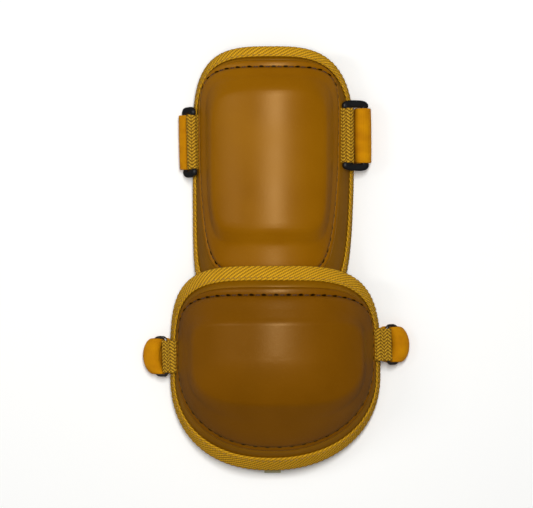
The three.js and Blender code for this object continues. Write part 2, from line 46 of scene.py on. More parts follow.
# The photograph's view: straight down, with the real size of one pixel at the middle height.
IMAGE = (533, 508)
PIXEL = 0.6
VIEW_HEIGHT = 1600.0
MIDDLE_HEIGHT = 20.0
VIEW_CENTRE = (-5.8, 3.55)

# The CAD's own origin in the frame, and the gap between pieces that are sewn together
OFFSET = np.array([-0.07, 0.34])
GAP = 0.3

# The pads' edge lies at EDGE_HEIGHT, and the straps lift it in a bell that reaches LIFT_REACH along
# Y. STRAP_Y is the middle of each strap on the left and on the right.
EDGE_HEIGHT = 2.9
STRAP_LIFT = 4.6
LIFT_REACH = 34.0
STRAP_Y = {"arm": (70.6, 74.5), "elbow": (-58.6, -51.4)}

# Where the plates' middle lines leave the level, as shares of up, and the power of the cup's fall
CURL_FROM = 0.5
BROW_FROM = 0.72
TOE_FROM = 0.2
TOE_POWER = 1.7

# Grid cells round each kind of piece, and the cuts of a quadrant before it is divided evenly
PAD_AROUND = 240
SHELL_AROUND = 480
TAPE_AROUND = 1600
QUADRANT_CUTS = 400

# The tape and its diagonal ribs, which stand on a face sunk by RIB_SINK
TAPE = 0.9
TAPE_SWELL = 0.35
RIB_PITCH = 1.5
RIB_RELIEF = 0.5
RIB_SINK = 0.22
RIB_ANGLE = 64.0

# The seam stitches, the radius of their thread, its girth on the UV map and the slant of its plies,
# then the small stitches of the tape, and how far both sink and taper at their ends
STITCH_PITCH = 7.2
STITCH_LENGTH = 4.9
STITCH_LIFT = 0.25
THREAD = 0.46
THREAD_GIRTH = 2.8
PLY_ANGLE = 40.1
TAPE_STITCH_PITCH = 3.4
TAPE_STITCH_LENGTH = 2.4
TAPE_STITCH_LIFT = 0.3
TAPE_STITCH_RISE = 0.32
TAPE_THREAD = 0.3
STITCH_SINK = 1.6
STITCH_TAPER = 0.55

# The puff of the cover beside the shell: its height, then in ring numbers where it starts, how long
# it is and where the shell ends it, and the share of half a turn of its sine. After it come the bulge
# of the shell's cut edge, and the seam's ring number between two beside it.
PUFF = 1.15
PUFF_FROM = 0.9
PUFF_LENGTH = 1.05
PUFF_SHARE = 0.6
PUFF_END = 1.99
EDGE_BULGE = 0.35
SEAM_RINGS = np.array([2.9, 3.0, 3.1])

# The two plates: mid point, half width and lengths up and down from the mid line, as in the CAD.
# A ring holds its reach left and right as shares of half, up and down as shares of up and down, the
# shift of its mid line, the squareness of its upper corners and its lower end, how far that end
# closes in, and its share of thick. From the flange inwards the rings and the relief are drawn finer
# than the CAD's, with its height on the panel.
COLUMNS = "left right top bottom mid corner_left corner_right low close_left close_right thick".split()
ARM = dict(
    x=-1.5 + OFFSET[0], half=47.4, y=64.8 + OFFSET[1], up=61.2, down=90.8, crown=36.0, curl=6.0,
    slope=(86.0, 74.0), thick=8.0, lean=0.0, strap=[y + OFFSET[1] for y in STRAP_Y["arm"]],
    rings=[
        (1, 1, 1, 1, 0, 3.7, 3.1, 7, 0, 0.1, 0.43),
        (0.976, 0.966, 0.912, 0.94, 0, 3.8, 3.2, 7, 0.01, 0.11, 0.46),
        (0.93, 0.83, 0.875, 0.819, 0.05, 4.2, 4.1, 8, 0.14, 0.17, 0.5),
        (0.91, 0.8, 0.81, 0.797, 0.2, 4.9, 5.2, 8, 0.15, 0.19, 0.6),
        (0.885, 0.777, 0.785, 0.772, 0.2, 4.9, 5.2, 8, 0.15, 0.19, 0.75),
        (0.81, 0.71, 0.73, 0.625, 0.18, 5, 5, 9, 0.1, 0.12, 1),
        (0.7, 0.59, 0.575, 0.515, 0.15, 4.2, 4.2, 9, 0.04, 0.05, 1),
        (0.5, 0.42, 0.4, 0.36, 0.08, 3, 3, 5, 0, 0, 1),
        (0.26, 0.22, 0.2, 0.18, 0, 2.6, 2.6, 3, 0, 0, 1),
        (0.05, 0.04, 0.04, 0.04, 0, 2, 2, 2, 0, 0, 1),
    ],
    # ring number and height of the shell's face above the pad
    relief=[(2, 0.9), (2.1, 1.55), (2.3, 1.85), (2.82, 1.5), (3, 0.95), (3.2, 1.5), (3.6, 2.3),
            (4, 2.8), (5, 3.75), (5.5, 5.4), (5.9, 6.9), (6.06, 7.25), (6.3, 7.4), (9, 7.4)],
)
CUP = dict(
    x=0.0 + OFFSET[0], half=62.6, y=-70.2 + OFFSET[1], up=65.4, down=55.8, crown=50.0, brow=43.8,
    toe=13.0, slope=(75.0, 75.0), thick=9.0, lean=-3.5, strap=[y + OFFSET[1] for y in STRAP_Y["elbow"]],
    rings=[
        (1, 0.987, 1, 1, 0, 4.2, 3.7, 2.2, 0, 0, 0.38),
        (0.968, 0.958, 0.881, 0.871, 0, 4.2, 3.8, 2.2, 0, 0, 0.41),
        (0.938, 0.93, 0.818, 0.785, 0.09, 4.3, 4, 2.2, 0, 0, 0.46),
        (0.92, 0.912, 0.752, 0.735, 0.12, 4.9, 4.7, 2.2, 0, 0, 0.58),
        (0.885, 0.88, 0.727, 0.705, 0.13, 5, 5, 2.2, 0, 0, 0.72),
        (0.79, 0.79, 0.615, 0.42, 0.15, 5, 5, 2.6, 0, 0, 1),
        (0.7, 0.72, 0.495, 0.21, 0.18, 6, 6, 3.4, 0, 0, 1),
        (0.48, 0.5, 0.38, 0.06, 0.18, 3.4, 3.4, 2.4, 0, 0, 1),
        (0.24, 0.25, 0.28, -0.06, 0.18, 2.4, 2.4, 2.1, 0, 0, 1),
        (0.04, 0.04, 0.2, -0.19, 0.18, 2, 2, 2, 0, 0, 1),
    ],
    relief=[(2, 0.9), (2.1, 1.55), (2.3, 1.8), (2.82, 1.45), (3, 0.9), (3.2, 1.5), (3.6, 2.6),
            (4, 3.3), (5, 6.0), (5.5, 7.45), (5.9, 8.7), (6.0, 8.9), (6.12, 9.0), (9, 9.0)],
)


def arch(u, slope):
    """Share of the rise from a plate's side (0) to its middle (1), at u half widths: an ellipse's
    arc that meets the side at slope degrees."""
    angle = math.radians(slope)
    foot = math.cos(angle)
    return (np.sqrt(1 - (np.clip(u, 0, 1) * math.sin(angle)) ** 2) - foot) / (1 - foot)


def crown(plate, y):
    """Height of the pad's face along the middle line. The arm plate is level and then drops with
    the square of the way to its free end. The cup is level between a dip to its brow, with the
    square of the way, and a fall to its toe, with the power 1.7 of the way."""
    up = (y - plate["y"]) / plate["up"]
    if "curl" in plate:
        way = np.clip((up - CURL_FROM) / (1 - CURL_FROM), 0, None)
        return plate["crown"] - plate["curl"] * way ** 2
    brow = np.clip((up - BROW_FROM) / (1 - BROW_FROM), 0, None)
    start = plate["y"] + TOE_FROM * plate["up"]
    toe = np.clip((start - y) / (TOE_FROM * plate["up"] + plate["down"]), 0, None)
    drop = (plate["crown"] - plate["brow"]) * brow ** 2
    return plate["crown"] - drop - (plate["crown"] - plate["toe"]) * toe ** TOE_POWER


def smooth_table(at, places, values):
    """Values of a table between its rows: a cubic between neighbours whose slope at each row is
    the harmonic mean of the two slopes beside it, or level where they differ in sign."""
    places, values = np.asarray(places, float), np.asarray(values, float)
    steps = np.diff(places)
    slopes = np.diff(values) / steps
    inner = np.where(slopes[1:] * slopes[:-1] > 0,
                     2 * slopes[1:] * slopes[:-1] / (slopes[1:] + slopes[:-1] + 1e-12), 0)
    slope = np.concatenate([slopes[:1], inner, slopes[-1:]])
    i = np.clip(np.searchsorted(places, at, side="right") - 1, 0, len(steps) - 1)
    t = (at - places[i]) / steps[i]
    low = values[i] * (2 * t**3 - 3 * t**2 + 1) + steps[i] * slope[i] * (t**3 - 2 * t**2 + t)
    return low + values[i + 1] * (3 * t**2 - 2 * t**3) + steps[i] * slope[i + 1] * (t**3 - t**2)


def quadrant(plate, row, side, end, count):
    """A quarter of a ring: a superellipse from the middle line to the side, cut at even steps of
    its length, on the arch. A lower quarter closes in with the square of the way to its end. Its
    height runs with the arch from the side's height to the end's, and near the pad's edge a strap
    lifts it: a bell of the way along Y times the cube of how low it lies."""
    named = dict(zip(COLUMNS, row))
    square = named["low"] if end == "bottom" else named["corner_" + side]
    close = named["close_" + side] if end == "bottom" else 0
    mid_y = plate["y"] + named["mid"] * plate["up"]
    reach = named["top"] * plate["up"] if end == "top" else -named["bottom"] * plate["down"]
    end_y = plate["y"] + reach
    angle = np.linspace(0, math.pi / 2, QUADRANT_CUTS)
    along = np.cos(angle) ** (2 / square)
    x = named[side] * plate["half"] * np.sin(angle) ** (2 / square) * (1 - close * along ** 2)
    y = mid_y + (end_y - mid_y) * along
    length = np.concatenate([[0], np.cumsum(np.hypot(np.diff(x), np.diff(y)))])
    even = np.linspace(0, length[-1], count + 1)
    x, y = np.interp(even, length, x), np.interp(even, length, y)
    slope = plate["slope"][side == "right"]
    side_share = float(arch(named[side], slope))
    side_z = EDGE_HEIGHT + (crown(plate, mid_y) - EDGE_HEIGHT) * side_share
    end_z = crown(plate, end_y)
    share = (arch(x / plate["half"], slope) - side_share) / (1 - side_share)
    z = side_z + (end_z - side_z) * np.minimum(1, share)
    low = 1 - (z - EDGE_HEIGHT) / (crown(plate, plate["y"]) - EDGE_HEIGHT)
    strap = plate["strap"][side == "right"]
    z = z + STRAP_LIFT * np.exp(-((y - strap) / LIFT_REACH) ** 2) * np.clip(low, 0, None) ** 3
    middle = plate["x"] + plate["lean"] * np.clip((plate["y"] - y) / plate["down"], 0, None) ** 2
    return np.stack([middle + (-x if side == "left" else x), y, z], -1)


def ring_points(plate, at, count):
    """Whole rings of the pad's face at ring numbers at, from the upper end round by the right:
    four quadrants each, from table rows that smooth_table reads between the plate's rings."""
    numbers = np.arange(len(plate["rings"]))
    table = np.stack([smooth_table(at, numbers, column) for column in zip(*plate["rings"])], -1)
    quarter = count // 4
    rings = []
    for row in table:
        parts = [
            quadrant(plate, row, "right", "top", quarter),
            quadrant(plate, row, "right", "bottom", quarter)[::-1],
            quadrant(plate, row, "left", "bottom", quarter),
            quadrant(plate, row, "left", "top", quarter)[::-1],
        ]
        rings.append(np.concatenate([part[:-1] for part in parts]))
    return np.array(rings)


def smooth_step(t):
    """A step from 0 to 1 that starts and ends level: t squared times three less two t."""
    t = np.clip(t, 0, 1)
    return t * t * (3 - 2 * t)


def superellipse(count, power_x, power_y):
    """Points round the unit circle whose cosine and sine are each raised to a power, signs kept."""
    angle = np.linspace(0, 2 * math.pi, count + 1)[:-1]
    cos, sin = np.cos(angle), np.sin(angle)
    return np.sign(cos) * np.abs(cos) ** power_x, np.sign(sin) * np.abs(sin) ** power_y


def unit(vectors):
    """Vectors over their own length."""
    return vectors / (np.linalg.norm(vectors, axis=-1, keepdims=True) + 1e-12)


def ring_normals(grid):
    """Outward normals of a grid of rings: the cross product of its two central differences, turned
    so that they point up on the whole."""
    around = np.roll(grid, -1, 1) - np.roll(grid, 1, 1)
    normals = unit(np.cross(around, np.gradient(grid, axis=0)))
    return normals * np.sign(normals[..., 2].mean())


def thickness(plate, at):
    """The pad's thickness at ring numbers at."""
    shares = [row[-1] for row in plate["rings"]]
    return plate["thick"] * smooth_table(at, np.arange(len(shares)), shares)


def lengths(points):
    """Distance along a closed line of points from the first, with the whole length at the end."""
    closed = np.concatenate([points, points[:1]])
    return np.concatenate([[0], np.cumsum(np.linalg.norm(np.diff(closed, axis=0), axis=1))])


def along_loop(points, distance, at):
    """Values of points at distances at along their closed loop, read between neighbours."""
    closed = np.concatenate([points, points[:1]])
    at = np.mod(at, distance[-1])
    return np.stack([np.interp(at, distance, closed[:, k]) for k in range(closed.shape[1])], -1)


def tube_faces(rows, columns, loop=False):
    """Faces of a grid of closed sections: quads between neighbours, then a fan of triangles at each
    end from a middle point after the grid. In a loop the last section joins the first instead."""
    r, c = np.meshgrid(np.arange(rows if loop else rows - 1), np.arange(columns), indexing="ij")
    r, c = r.ravel(), c.ravel()
    following, beside = (r + 1) % rows, (c + 1) % columns
    quads = np.stack([r * columns + c, r * columns + beside,
                      following * columns + beside, following * columns + c], -1)
    if loop:
        return quads, np.zeros((0, 3), int)
    c = np.arange(columns)
    middle, last = rows * columns, (rows - 1) * columns
    return quads, np.concatenate([
        np.stack([np.full(columns, middle), (c + 1) % columns, c], -1),
        np.stack([np.full(columns, middle + 1), last + c, last + (c + 1) % columns], -1),
    ])


def closed_mesh(name, vertices, quads, fans, corner_uv=None):
    """A smooth mesh of quads and fans whose faces point out, with a UV map of two values a corner."""
    mesh = bpy.data.meshes.new(name)
    mesh.from_pydata(vertices * MM, [], quads.tolist() + fans.tolist())
    mesh.polygons.foreach_set("use_smooth", np.ones(len(mesh.polygons), bool))
    if corner_uv is not None:
        mesh.uv_layers.new(name="UVMap").data.foreach_set("uv", corner_uv.ravel())
    turn_outward(mesh, vertices)
    return mesh


def put(name, points, material, replaces=(), uv=None, loop=False):
    """Puts a grid of closed sections, rows x columns x 3, into one piece. Its ends are closed by
    fans, or the last section joins the first in a loop. uv has a row and a column more where the
    grid joins itself, in millimetres."""
    rows, columns = points.shape[:2]
    quads, fans = tube_faces(rows, columns, loop)
    vertices = points.reshape(-1, 3)
    if not loop:
        vertices = np.concatenate([vertices, [points[0].mean(0), points[-1].mean(0)]])
    corners = None
    if uv is not None:
        r, c = np.divmod(np.arange(len(quads)), columns)
        corners = np.stack([uv[r, c], uv[r, c + 1], uv[r + 1, c + 1], uv[r + 1, c]], 1)
        ends = np.repeat([uv[0, 0], uv[-1, 0]], 3 * len(fans) // 2, axis=0)
        corners = np.concatenate([corners.reshape(-1, 2), ends])
    mesh = closed_mesh(name, vertices, quads, fans, corners)
    return finish_piece(name, mesh, material, replaces)


def put_many(name, tubes, material):
    """Puts many small closed tubes, number x rows x columns x 3, into one piece. UV is the way along
    a tube and round it, in millimetres."""
    number, rows, columns = tubes.shape[:3]
    quads, fans = tube_faces(rows, columns)
    ends = np.stack([tubes[:, 0].mean(1), tubes[:, -1].mean(1)], 1)
    vertices = np.concatenate([tubes.reshape(number, -1, 3), ends], 1).reshape(-1, 3)
    shift = (np.arange(number) * (rows * columns + 2))[:, None, None]
    run = np.linalg.norm(np.diff(tubes.mean(2), axis=1), axis=-1)
    run = np.concatenate([np.zeros((number, 1)), np.cumsum(run, 1)], 1)
    girth = np.arange(columns + 1) * THREAD_GIRTH / columns
    r, c = np.divmod(np.arange(len(quads)), columns)
    u = np.stack([run[:, r], run[:, r], run[:, r + 1], run[:, r + 1]], -1)
    v = np.broadcast_to(np.stack([girth[c], girth[c + 1], girth[c + 1], girth[c]], -1), u.shape)
    ends = np.zeros((3 * number * len(fans), 2))
    corners = np.concatenate([np.stack([u, v], -1).reshape(-1, 2), ends])
    mesh = closed_mesh(name, vertices, (quads[None] + shift).reshape(-1, 4),
                       (fans[None] + shift).reshape(-1, 3), corners)
    return finish_piece(name, mesh, material)


def turn_outward(mesh, vertices):
    """Flips a closed mesh whose signed volume is negative, so that its faces point out."""
    mesh.calc_loop_triangles()
    corners = np.zeros(3 * len(mesh.loop_triangles), np.int64)
    mesh.loop_triangles.foreach_get("vertices", corners)
    a, b, c = (vertices[corners.reshape(-1, 3)[:, k]] for k in range(3))
    if np.einsum("ij,ij->", a, np.cross(b, c)) < 0:
        mesh.flip_normals()


def finish_piece(name, mesh, material, replaces=()):
    """Makes the object, gives it its material and slot, and lets it ride on the guard's body."""
    mesh.materials.append(material)
    piece = bpy.data.objects.new(name, mesh)
    bpy.context.scene.collection.objects.link(piece)
    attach(piece, "root")
    if replaces:
        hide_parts(*replaces)
    return piece


def per_metre(size):
    """Scale of a pattern on Object coordinates, which are metres, for a real size in millimetres."""
    return 1 / (size * MM)


def linear(hexa):
    """An sRGB hex colour as linear red, green, blue and full alpha."""
    parts = [int(hexa[i:i + 2], 16) / 255 for i in (1, 3, 5)]
    return tuple(v / 12.92 if v <= 0.04045 else ((v + 0.055) / 1.055) ** 2.4 for v in parts) + (1.0,)


def node(material, kind, sockets=(), **settings):
    """Adds one node with its settings; sockets are name and value, or name and the linked output."""
    tree = material.node_tree
    made = tree.nodes.new("ShaderNode" + kind)
    for key, value in settings.items():
        setattr(made, key, value)
    for name, value in dict(sockets).items():
        if isinstance(value, bpy.types.NodeSocket):
            tree.links.new(value, made.inputs[name])
        else:
            made.inputs[name].default_value = value
    return made


def new_material(name):
    """An empty material of nodes."""
    material = bpy.data.materials.new(name)
    material.use_nodes = True
    material.node_tree.nodes.clear()
    return material


def close_material(material, colour, roughness, normal=None, **sockets):
    """Ends a material in a Principled shader with its colour, roughness and bump, and its output."""
    values = {"Base Color": colour, "Roughness": roughness}
    if normal is not None:
        values["Normal"] = normal
    values.update({key.replace("_", " "): value for key, value in sockets.items()})
    shader = node(material, "BsdfPrincipled", values)
    node(material, "OutputMaterial", {"Surface": shader.outputs["BSDF"]})
    return material


def ridges(material, along, pitch):
    """Ridges at a real pitch in millimetres along a coordinate: a triangle wave between 0 and 1."""
    wave = node(material, "Math", {0: along, 1: pitch / 2}, operation="PINGPONG")
    wave = node(material, "MapRange", {"Value": wave.outputs[0], "From Max": pitch / 2})
    return wave.outputs["Result"]


def blend_colours(material, share, low, high):
    """Mixes two colours by a share, each a hex colour or a colour socket."""
    mixed = node(material, "Mix", {0: share}, data_type="RGBA")
    for index, colour in ((6, low), (7, high)):
        if isinstance(colour, str):
            mixed.inputs[index].default_value = linear(colour)
        else:
            material.node_tree.links.new(colour, mixed.inputs[index])
    return mixed.outputs[2]


def coated_leather(name, base, dark, light, roughness, stitch_pitch=0.0):
    """Polyurethane-coated leather, press moulded: an even golden brown with a soft broad gloss, a
    grain of flat cells about 0.7 mm wide, and punched needle holes along the seam where stitch_pitch
    is given, about 2 mm wide and so wider than usual ones, to show; the holes are near-black spots
    painted into the colour, painted shade. UV runs in mm along the seam and away from it."""
    material = new_material(name)
    place = node(material, "TexCoord")
    cloud = node(material, "TexNoise", {"Vector": place.outputs["Object"], "Scale": per_metre(45.5),
                                        "Detail": 3.0})
    grain = node(material, "TexVoronoi", {"Vector": place.outputs["Object"],
                                          "Scale": per_metre(0.714)}, feature="DISTANCE_TO_EDGE")
    fine = node(material, "TexNoise", {"Vector": place.outputs["Object"], "Scale": per_metre(1.111),
                                       "Detail": 4.0})
    shade = node(material, "MapRange", {"Value": cloud.outputs["Fac"], "From Min": 0.3, "From Max": 0.7})
    colour = blend_colours(material, shade.outputs["Result"], dark, base)
    speck = node(material, "MapRange", {"Value": fine.outputs["Fac"], "From Min": 0.55, "From Max": 0.8,
                                        "To Max": 0.22})
    colour = blend_colours(material, speck.outputs["Result"], colour, light)
    height = node(material, "Math", {0: grain.outputs["Distance"], 1: 0.35}, operation="MINIMUM")
    height = node(material, "Math", {0: height.outputs[0], 1: fine.outputs["Fac"]}, operation="ADD")
    bump = node(material, "Bump", {"Height": height.outputs[0], "Strength": 0.12, "Distance": 0.0004})
    rough = node(material, "MapRange", {"Value": cloud.outputs["Fac"], "From Min": 0.3, "From Max": 0.7,
                                        "To Min": roughness - 0.04, "To Max": roughness + 0.05})
    if stitch_pitch:
        seam = node(material, "SeparateXYZ", {"Vector": place.outputs["UV"]})
        beat = node(material, "Math", {0: seam.outputs["X"], 1: stitch_pitch / 2},
                    operation="PINGPONG")
        reach = node(material, "CombineXYZ", {"X": beat.outputs[0], "Y": seam.outputs["Y"]})
        reach = node(material, "VectorMath", {0: reach.outputs["Vector"], 1: (0.7, 1.0, 1.0)},
                     operation="MULTIPLY")
        far = node(material, "VectorMath", {0: reach.outputs["Vector"]}, operation="LENGTH")
        # Painted shade: the needle holes are near-black spots in the leather's colour
        hole_shade = node(material, "MapRange", {"Value": far.outputs["Value"], "From Min": 0.75,
                                           "From Max": 1.3, "To Min": 1.0, "To Max": 0.0},
                    interpolation_type="SMOOTHSTEP")
        colour = blend_colours(material, hole_shade.outputs["Result"], colour, "#140700")
    return close_material(material, colour, rough.outputs["Result"], bump.outputs["Normal"],
                          Specular_IOR_Level=0.32, Specular_Tint=linear("#FFD494"))


def twill_tape(name):
    """Cotton twill binding tape: thick golden yarns in diagonal ribs 1.5 mm apart, coarser than the
    usual 1 mm so that they show, each rib a row of yarn floats, brown in the gaps between ribs as
    painted shade and paler on the floats as painted highlight. UV is in mm."""
    material = new_material(name)
    place = node(material, "TexCoord")
    turned = node(material, "Mapping", {"Vector": place.outputs["UV"],
                                        "Rotation": (0, 0, math.radians(RIB_ANGLE))})
    across = node(material, "SeparateXYZ", {"Vector": turned.outputs["Vector"]})
    rib = ridges(material, across.outputs["X"], RIB_PITCH)
    floats = ridges(material, across.outputs["Y"], 1.1)
    fibre = node(material, "TexNoise", {"Vector": place.outputs["UV"], "Scale": 1 / 0.91,
                                        "Detail": 5.0})
    ridge = node(material, "Math", {0: rib, 1: 0.7}, operation="POWER")
    height = node(material, "Math", {0: floats, 1: 0.3, 2: ridge.outputs[0]},
                  operation="MULTIPLY_ADD")
    height = node(material, "Math", {0: fibre.outputs["Fac"], 1: 0.5, 2: height.outputs[0]},
                  operation="MULTIPLY_ADD")
    bump = node(material, "Bump", {"Height": height.outputs[0], "Strength": 0.75, "Distance": 0.0005})
    # Painted shade and highlight: brown in the gaps between ribs and gold on the ribs, then paler on the
    # floats' crowns
    colour = blend_colours(material, ridge.outputs[0], "#664200", "#DAA010")
    lit = node(material, "MapRange", {"Value": floats, "From Min": 0.45, "From Max": 1.0,
                                      "To Max": 0.35})
    colour = blend_colours(material, lit.outputs["Result"], colour, "#F8C848")
    tone = node(material, "TexNoise", {"Vector": place.outputs["UV"], "Scale": 1 / 8.33,
                                       "Detail": 2.0})
    uneven = node(material, "MapRange", {"Value": tone.outputs["Fac"], "From Min": 0.35, "From Max": 0.7,
                                         "To Max": 0.3})
    colour = blend_colours(material, uneven.outputs["Result"], colour, "#AE7C00")
    return close_material(material, colour, 0.85, bump.outputs["Normal"], Specular_IOR_Level=0.15)


def herringbone_webbing(name):
    """Polyester webbing woven in herringbone: columns of slanting yarns whose slant turns at each
    column, cut into short floats, in old gold, brown in the gaps and at the columns' edges as painted
    shade and gold on the floats as painted highlight. The columns are 2.4 mm wide and the yarns 2 mm
    apart, about twice the usual sizes, so that they show. UV is in mm, x along the band."""
    column_width = 2.4
    yarn_pitch = 2.0
    yarn_slope = 0.9
    float_length = 1.3
    float_slope = -1.1
    material = new_material(name)
    place = node(material, "TexCoord")
    flat = node(material, "SeparateXYZ", {"Vector": place.outputs["UV"]})
    column = node(material, "Math", {0: flat.outputs["X"], 1: column_width}, operation="PINGPONG")
    slant = node(material, "Math", {0: column.outputs[0], 1: yarn_slope, 2: flat.outputs["Y"]},
                 operation="MULTIPLY_ADD")
    yarn = ridges(material, slant.outputs[0], yarn_pitch)
    cut = node(material, "Math", {0: column.outputs[0], 1: float_slope, 2: flat.outputs["Y"]},
               operation="MULTIPLY_ADD")
    cut = node(material, "Math", {0: cut.outputs[0], 1: float_length}, operation="PINGPONG")
    cut = node(material, "MapRange", {"Value": cut.outputs[0], "From Max": 0.7, "To Min": 0.45})
    yarn = node(material, "Math", {0: yarn, 1: cut.outputs["Result"]}, operation="MULTIPLY")
    edge = node(material, "Math", {0: flat.outputs["X"], 1: column_width / 2}, operation="PINGPONG")
    edge = node(material, "MapRange", {"Value": edge.outputs[0], "From Max": 0.4, "To Min": 0.4})
    fibre = node(material, "TexNoise", {"Vector": place.outputs["UV"], "Scale": 1 / 0.5,
                                        "Detail": 4.0})
    height = node(material, "Math", {0: edge.outputs["Result"], 1: yarn.outputs[0]},
                  operation="MULTIPLY")
    height = node(material, "Math", {0: fibre.outputs["Fac"], 1: 0.3, 2: height.outputs[0]},
                  operation="MULTIPLY_ADD")
    bump = node(material, "Bump", {"Height": height.outputs[0], "Strength": 0.8, "Distance": 0.0005})
    # Painted shade and highlight: the colour follows the weave's height, brown where the yarns dip and
    # gold on their crowns
    shade = node(material, "MapRange", {"Value": height.outputs[0], "From Min": 0.15, "From Max": 0.85})
    colour = blend_colours(material, shade.outputs["Result"], "#503200", "#CE9C24")
    return close_material(material, colour, 0.85, bump.outputs["Normal"], Specular_IOR_Level=0.15)


def woven_elastic(name):
    """Woven elastic, dyed golden orange: a smooth matt face, slightly uneven in tone, with fine
    cross ribs 0.6 mm apart. UV is in mm, x along the band."""
    material = new_material(name)
    place = node(material, "TexCoord")
    flat = node(material, "SeparateXYZ", {"Vector": place.outputs["UV"]})
    rib = ridges(material, flat.outputs["X"], 0.6)
    fibre = node(material, "TexNoise", {"Vector": place.outputs["UV"], "Scale": 1 / 0.625,
                                        "Detail": 5.0})
    tone = node(material, "TexNoise", {"Vector": place.outputs["UV"], "Scale": 1 / 6.25,
                                       "Detail": 2.0})
    height = node(material, "Math", {0: fibre.outputs["Fac"], 1: 0.7, 2: rib},
                  operation="MULTIPLY_ADD")
    bump = node(material, "Bump", {"Height": height.outputs[0], "Strength": 0.3, "Distance": 0.0003})
    shade = node(material, "MapRange", {"Value": tone.outputs["Fac"], "From Min": 0.3, "From Max": 0.7})
    colour = blend_colours(material, shade.outputs["Result"], "#B07000", "#C48400")
    return close_material(material, colour, 0.85, bump.outputs["Normal"], Specular_IOR_Level=0.1)


def moulded_acetal(name):
    """Injection-moulded black acetal: nearly black, satin, with a faint moulding texture."""
    material = new_material(name)
    place = node(material, "TexCoord")
    skin = node(material, "TexNoise", {"Vector": place.outputs["Object"], "Scale": per_metre(1.111),
                                       "Detail": 3.0})
    wear = node(material, "TexNoise", {"Vector": place.outputs["Object"], "Scale": per_metre(11.11),
                                       "Detail": 3.0})
    bump = node(material, "Bump", {"Height": skin.outputs["Fac"], "Strength": 0.12, "Distance": 0.0002})
    rough = node(material, "MapRange", {"Value": wear.outputs["Fac"], "To Min": 0.4, "To Max": 0.55})
    colour = blend_colours(material, wear.outputs["Fac"], "#0D0D0E", "#1C1C1D")
    return close_material(material, colour, rough.outputs["Result"], bump.outputs["Normal"], IOR=1.48,
                          Specular_IOR_Level=0.35)


def black_nickel(name):
    """Steel wire plated in black nickel: a dark, half-clear mirror with drawing marks 1.4 mm apart,
    coarser than usual ones so that they show."""
    material = new_material(name)
    place = node(material, "TexCoord")
    marks = node(material, "TexNoise", {"Vector": place.outputs["Object"], "Scale": per_metre(1.43),
                                        "Detail": 2.0})
    rough = node(material, "MapRange", {"Value": marks.outputs["Fac"], "To Min": 0.2, "To Max": 0.4})
    colour = blend_colours(material, marks.outputs["Fac"], "#4E4A48", "#96908C")
    return close_material(material, colour, rough.outputs["Result"], Metallic=1.0)


def twisted_thread(name, base, dark, roughness=0.55):
    """Bonded polyester thread of twisted plies: a slight sheen and slanting ply lines 1.1 mm apart,
    dark in the grooves between plies as painted shade. UV is in mm, x along the thread."""
    material = new_material(name)
    place = node(material, "TexCoord")
    turned = node(material, "Mapping", {"Vector": place.outputs["UV"],
                                        "Rotation": (0, 0, math.radians(PLY_ANGLE))})
    flat = node(material, "SeparateXYZ", {"Vector": turned.outputs["Vector"]})
    ply = ridges(material, flat.outputs["X"], 1.1)
    bump = node(material, "Bump", {"Height": ply, "Strength": 0.5, "Distance": 0.0002})
    # Painted shade: the colour darkens in the grooves between the plies
    colour = blend_colours(material, ply, dark, base)
    return close_material(material, colour, roughness, bump.outputs["Normal"], Sheen_Weight=0.1)


def plain_tape(name):
    """Plain woven cotton tape, grey-olive: square yarn crossings 0.8 mm apart, matt. UV in mm."""
    material = new_material(name)
    place = node(material, "TexCoord")
    flat = node(material, "SeparateXYZ", {"Vector": place.outputs["UV"]})
    warp = ridges(material, flat.outputs["X"], 0.8)
    weft = ridges(material, flat.outputs["Y"], 0.8)
    height = node(material, "Math", {0: warp, 1: weft}, operation="MULTIPLY")
    bump = node(material, "Bump", {"Height": height.outputs[0], "Strength": 0.6, "Distance": 0.0003})
    # Painted shade: the colour darkens where the yarns dip between crossings
    colour = blend_colours(material, height.outputs[0], "#A0986C", "#D6CA9A")
    return close_material(material, colour, 0.85, bump.outputs["Normal"], Sheen_Weight=0.1)


def lining_cloth(name):
    """Brushed tricot that lines the foam: matt brown with a short nap about 0.6 mm across."""
    material = new_material(name)
    place = node(material, "TexCoord")
    nap = node(material, "TexNoise", {"Vector": place.outputs["Object"], "Scale": per_metre(0.625),
                                      "Detail": 4.0})
    cloud = node(material, "TexNoise", {"Vector": place.outputs["Object"], "Scale": per_metre(16.7),
                                        "Detail": 3.0})
    bump = node(material, "Bump", {"Height": nap.outputs["Fac"], "Strength": 0.5, "Distance": 0.0004})
    colour = blend_colours(material, cloud.outputs["Fac"], "#5A3E0A", "#80590F")
    return close_material(material, colour, 0.9, bump.outputs["Normal"], Sheen_Weight=0.3)


# The arm's and the cup's shells are one leather; the cup's copy is darker than the arm's as painted
# shade
arm_leather = coated_leather("coated_leather_arm", "#8C5900", "#825000", "#9A6A17", 0.34,
                             STITCH_PITCH)
shaded_cup_leather = coated_leather("coated_leather_cup_painted_shade", "#784900", "#6E4200", "#885B12", 0.36,
                             STITCH_PITCH)
pad_cover = coated_leather("coated_leather_pad_cover", "#845600", "#744A00", "#906618", 0.42)
lining = lining_cloth("brushed_tricot_lining")
twill = twill_tape("cotton_twill_tape")
web_cloth = herringbone_webbing("herringbone_webbing")
elastic_cloth = woven_elastic("woven_elastic")
acetal = moulded_acetal("moulded_black_acetal")
nickel = black_nickel("black_nickel_wire")
seam_thread = twisted_thread("bonded_seam_thread", "#54300E", "#160802", 0.75)
tape_thread = twisted_thread("gold_tape_thread", "#C9951A", "#6E4A06")
grey_cloth = plain_tape("plain_woven_grey_tape")


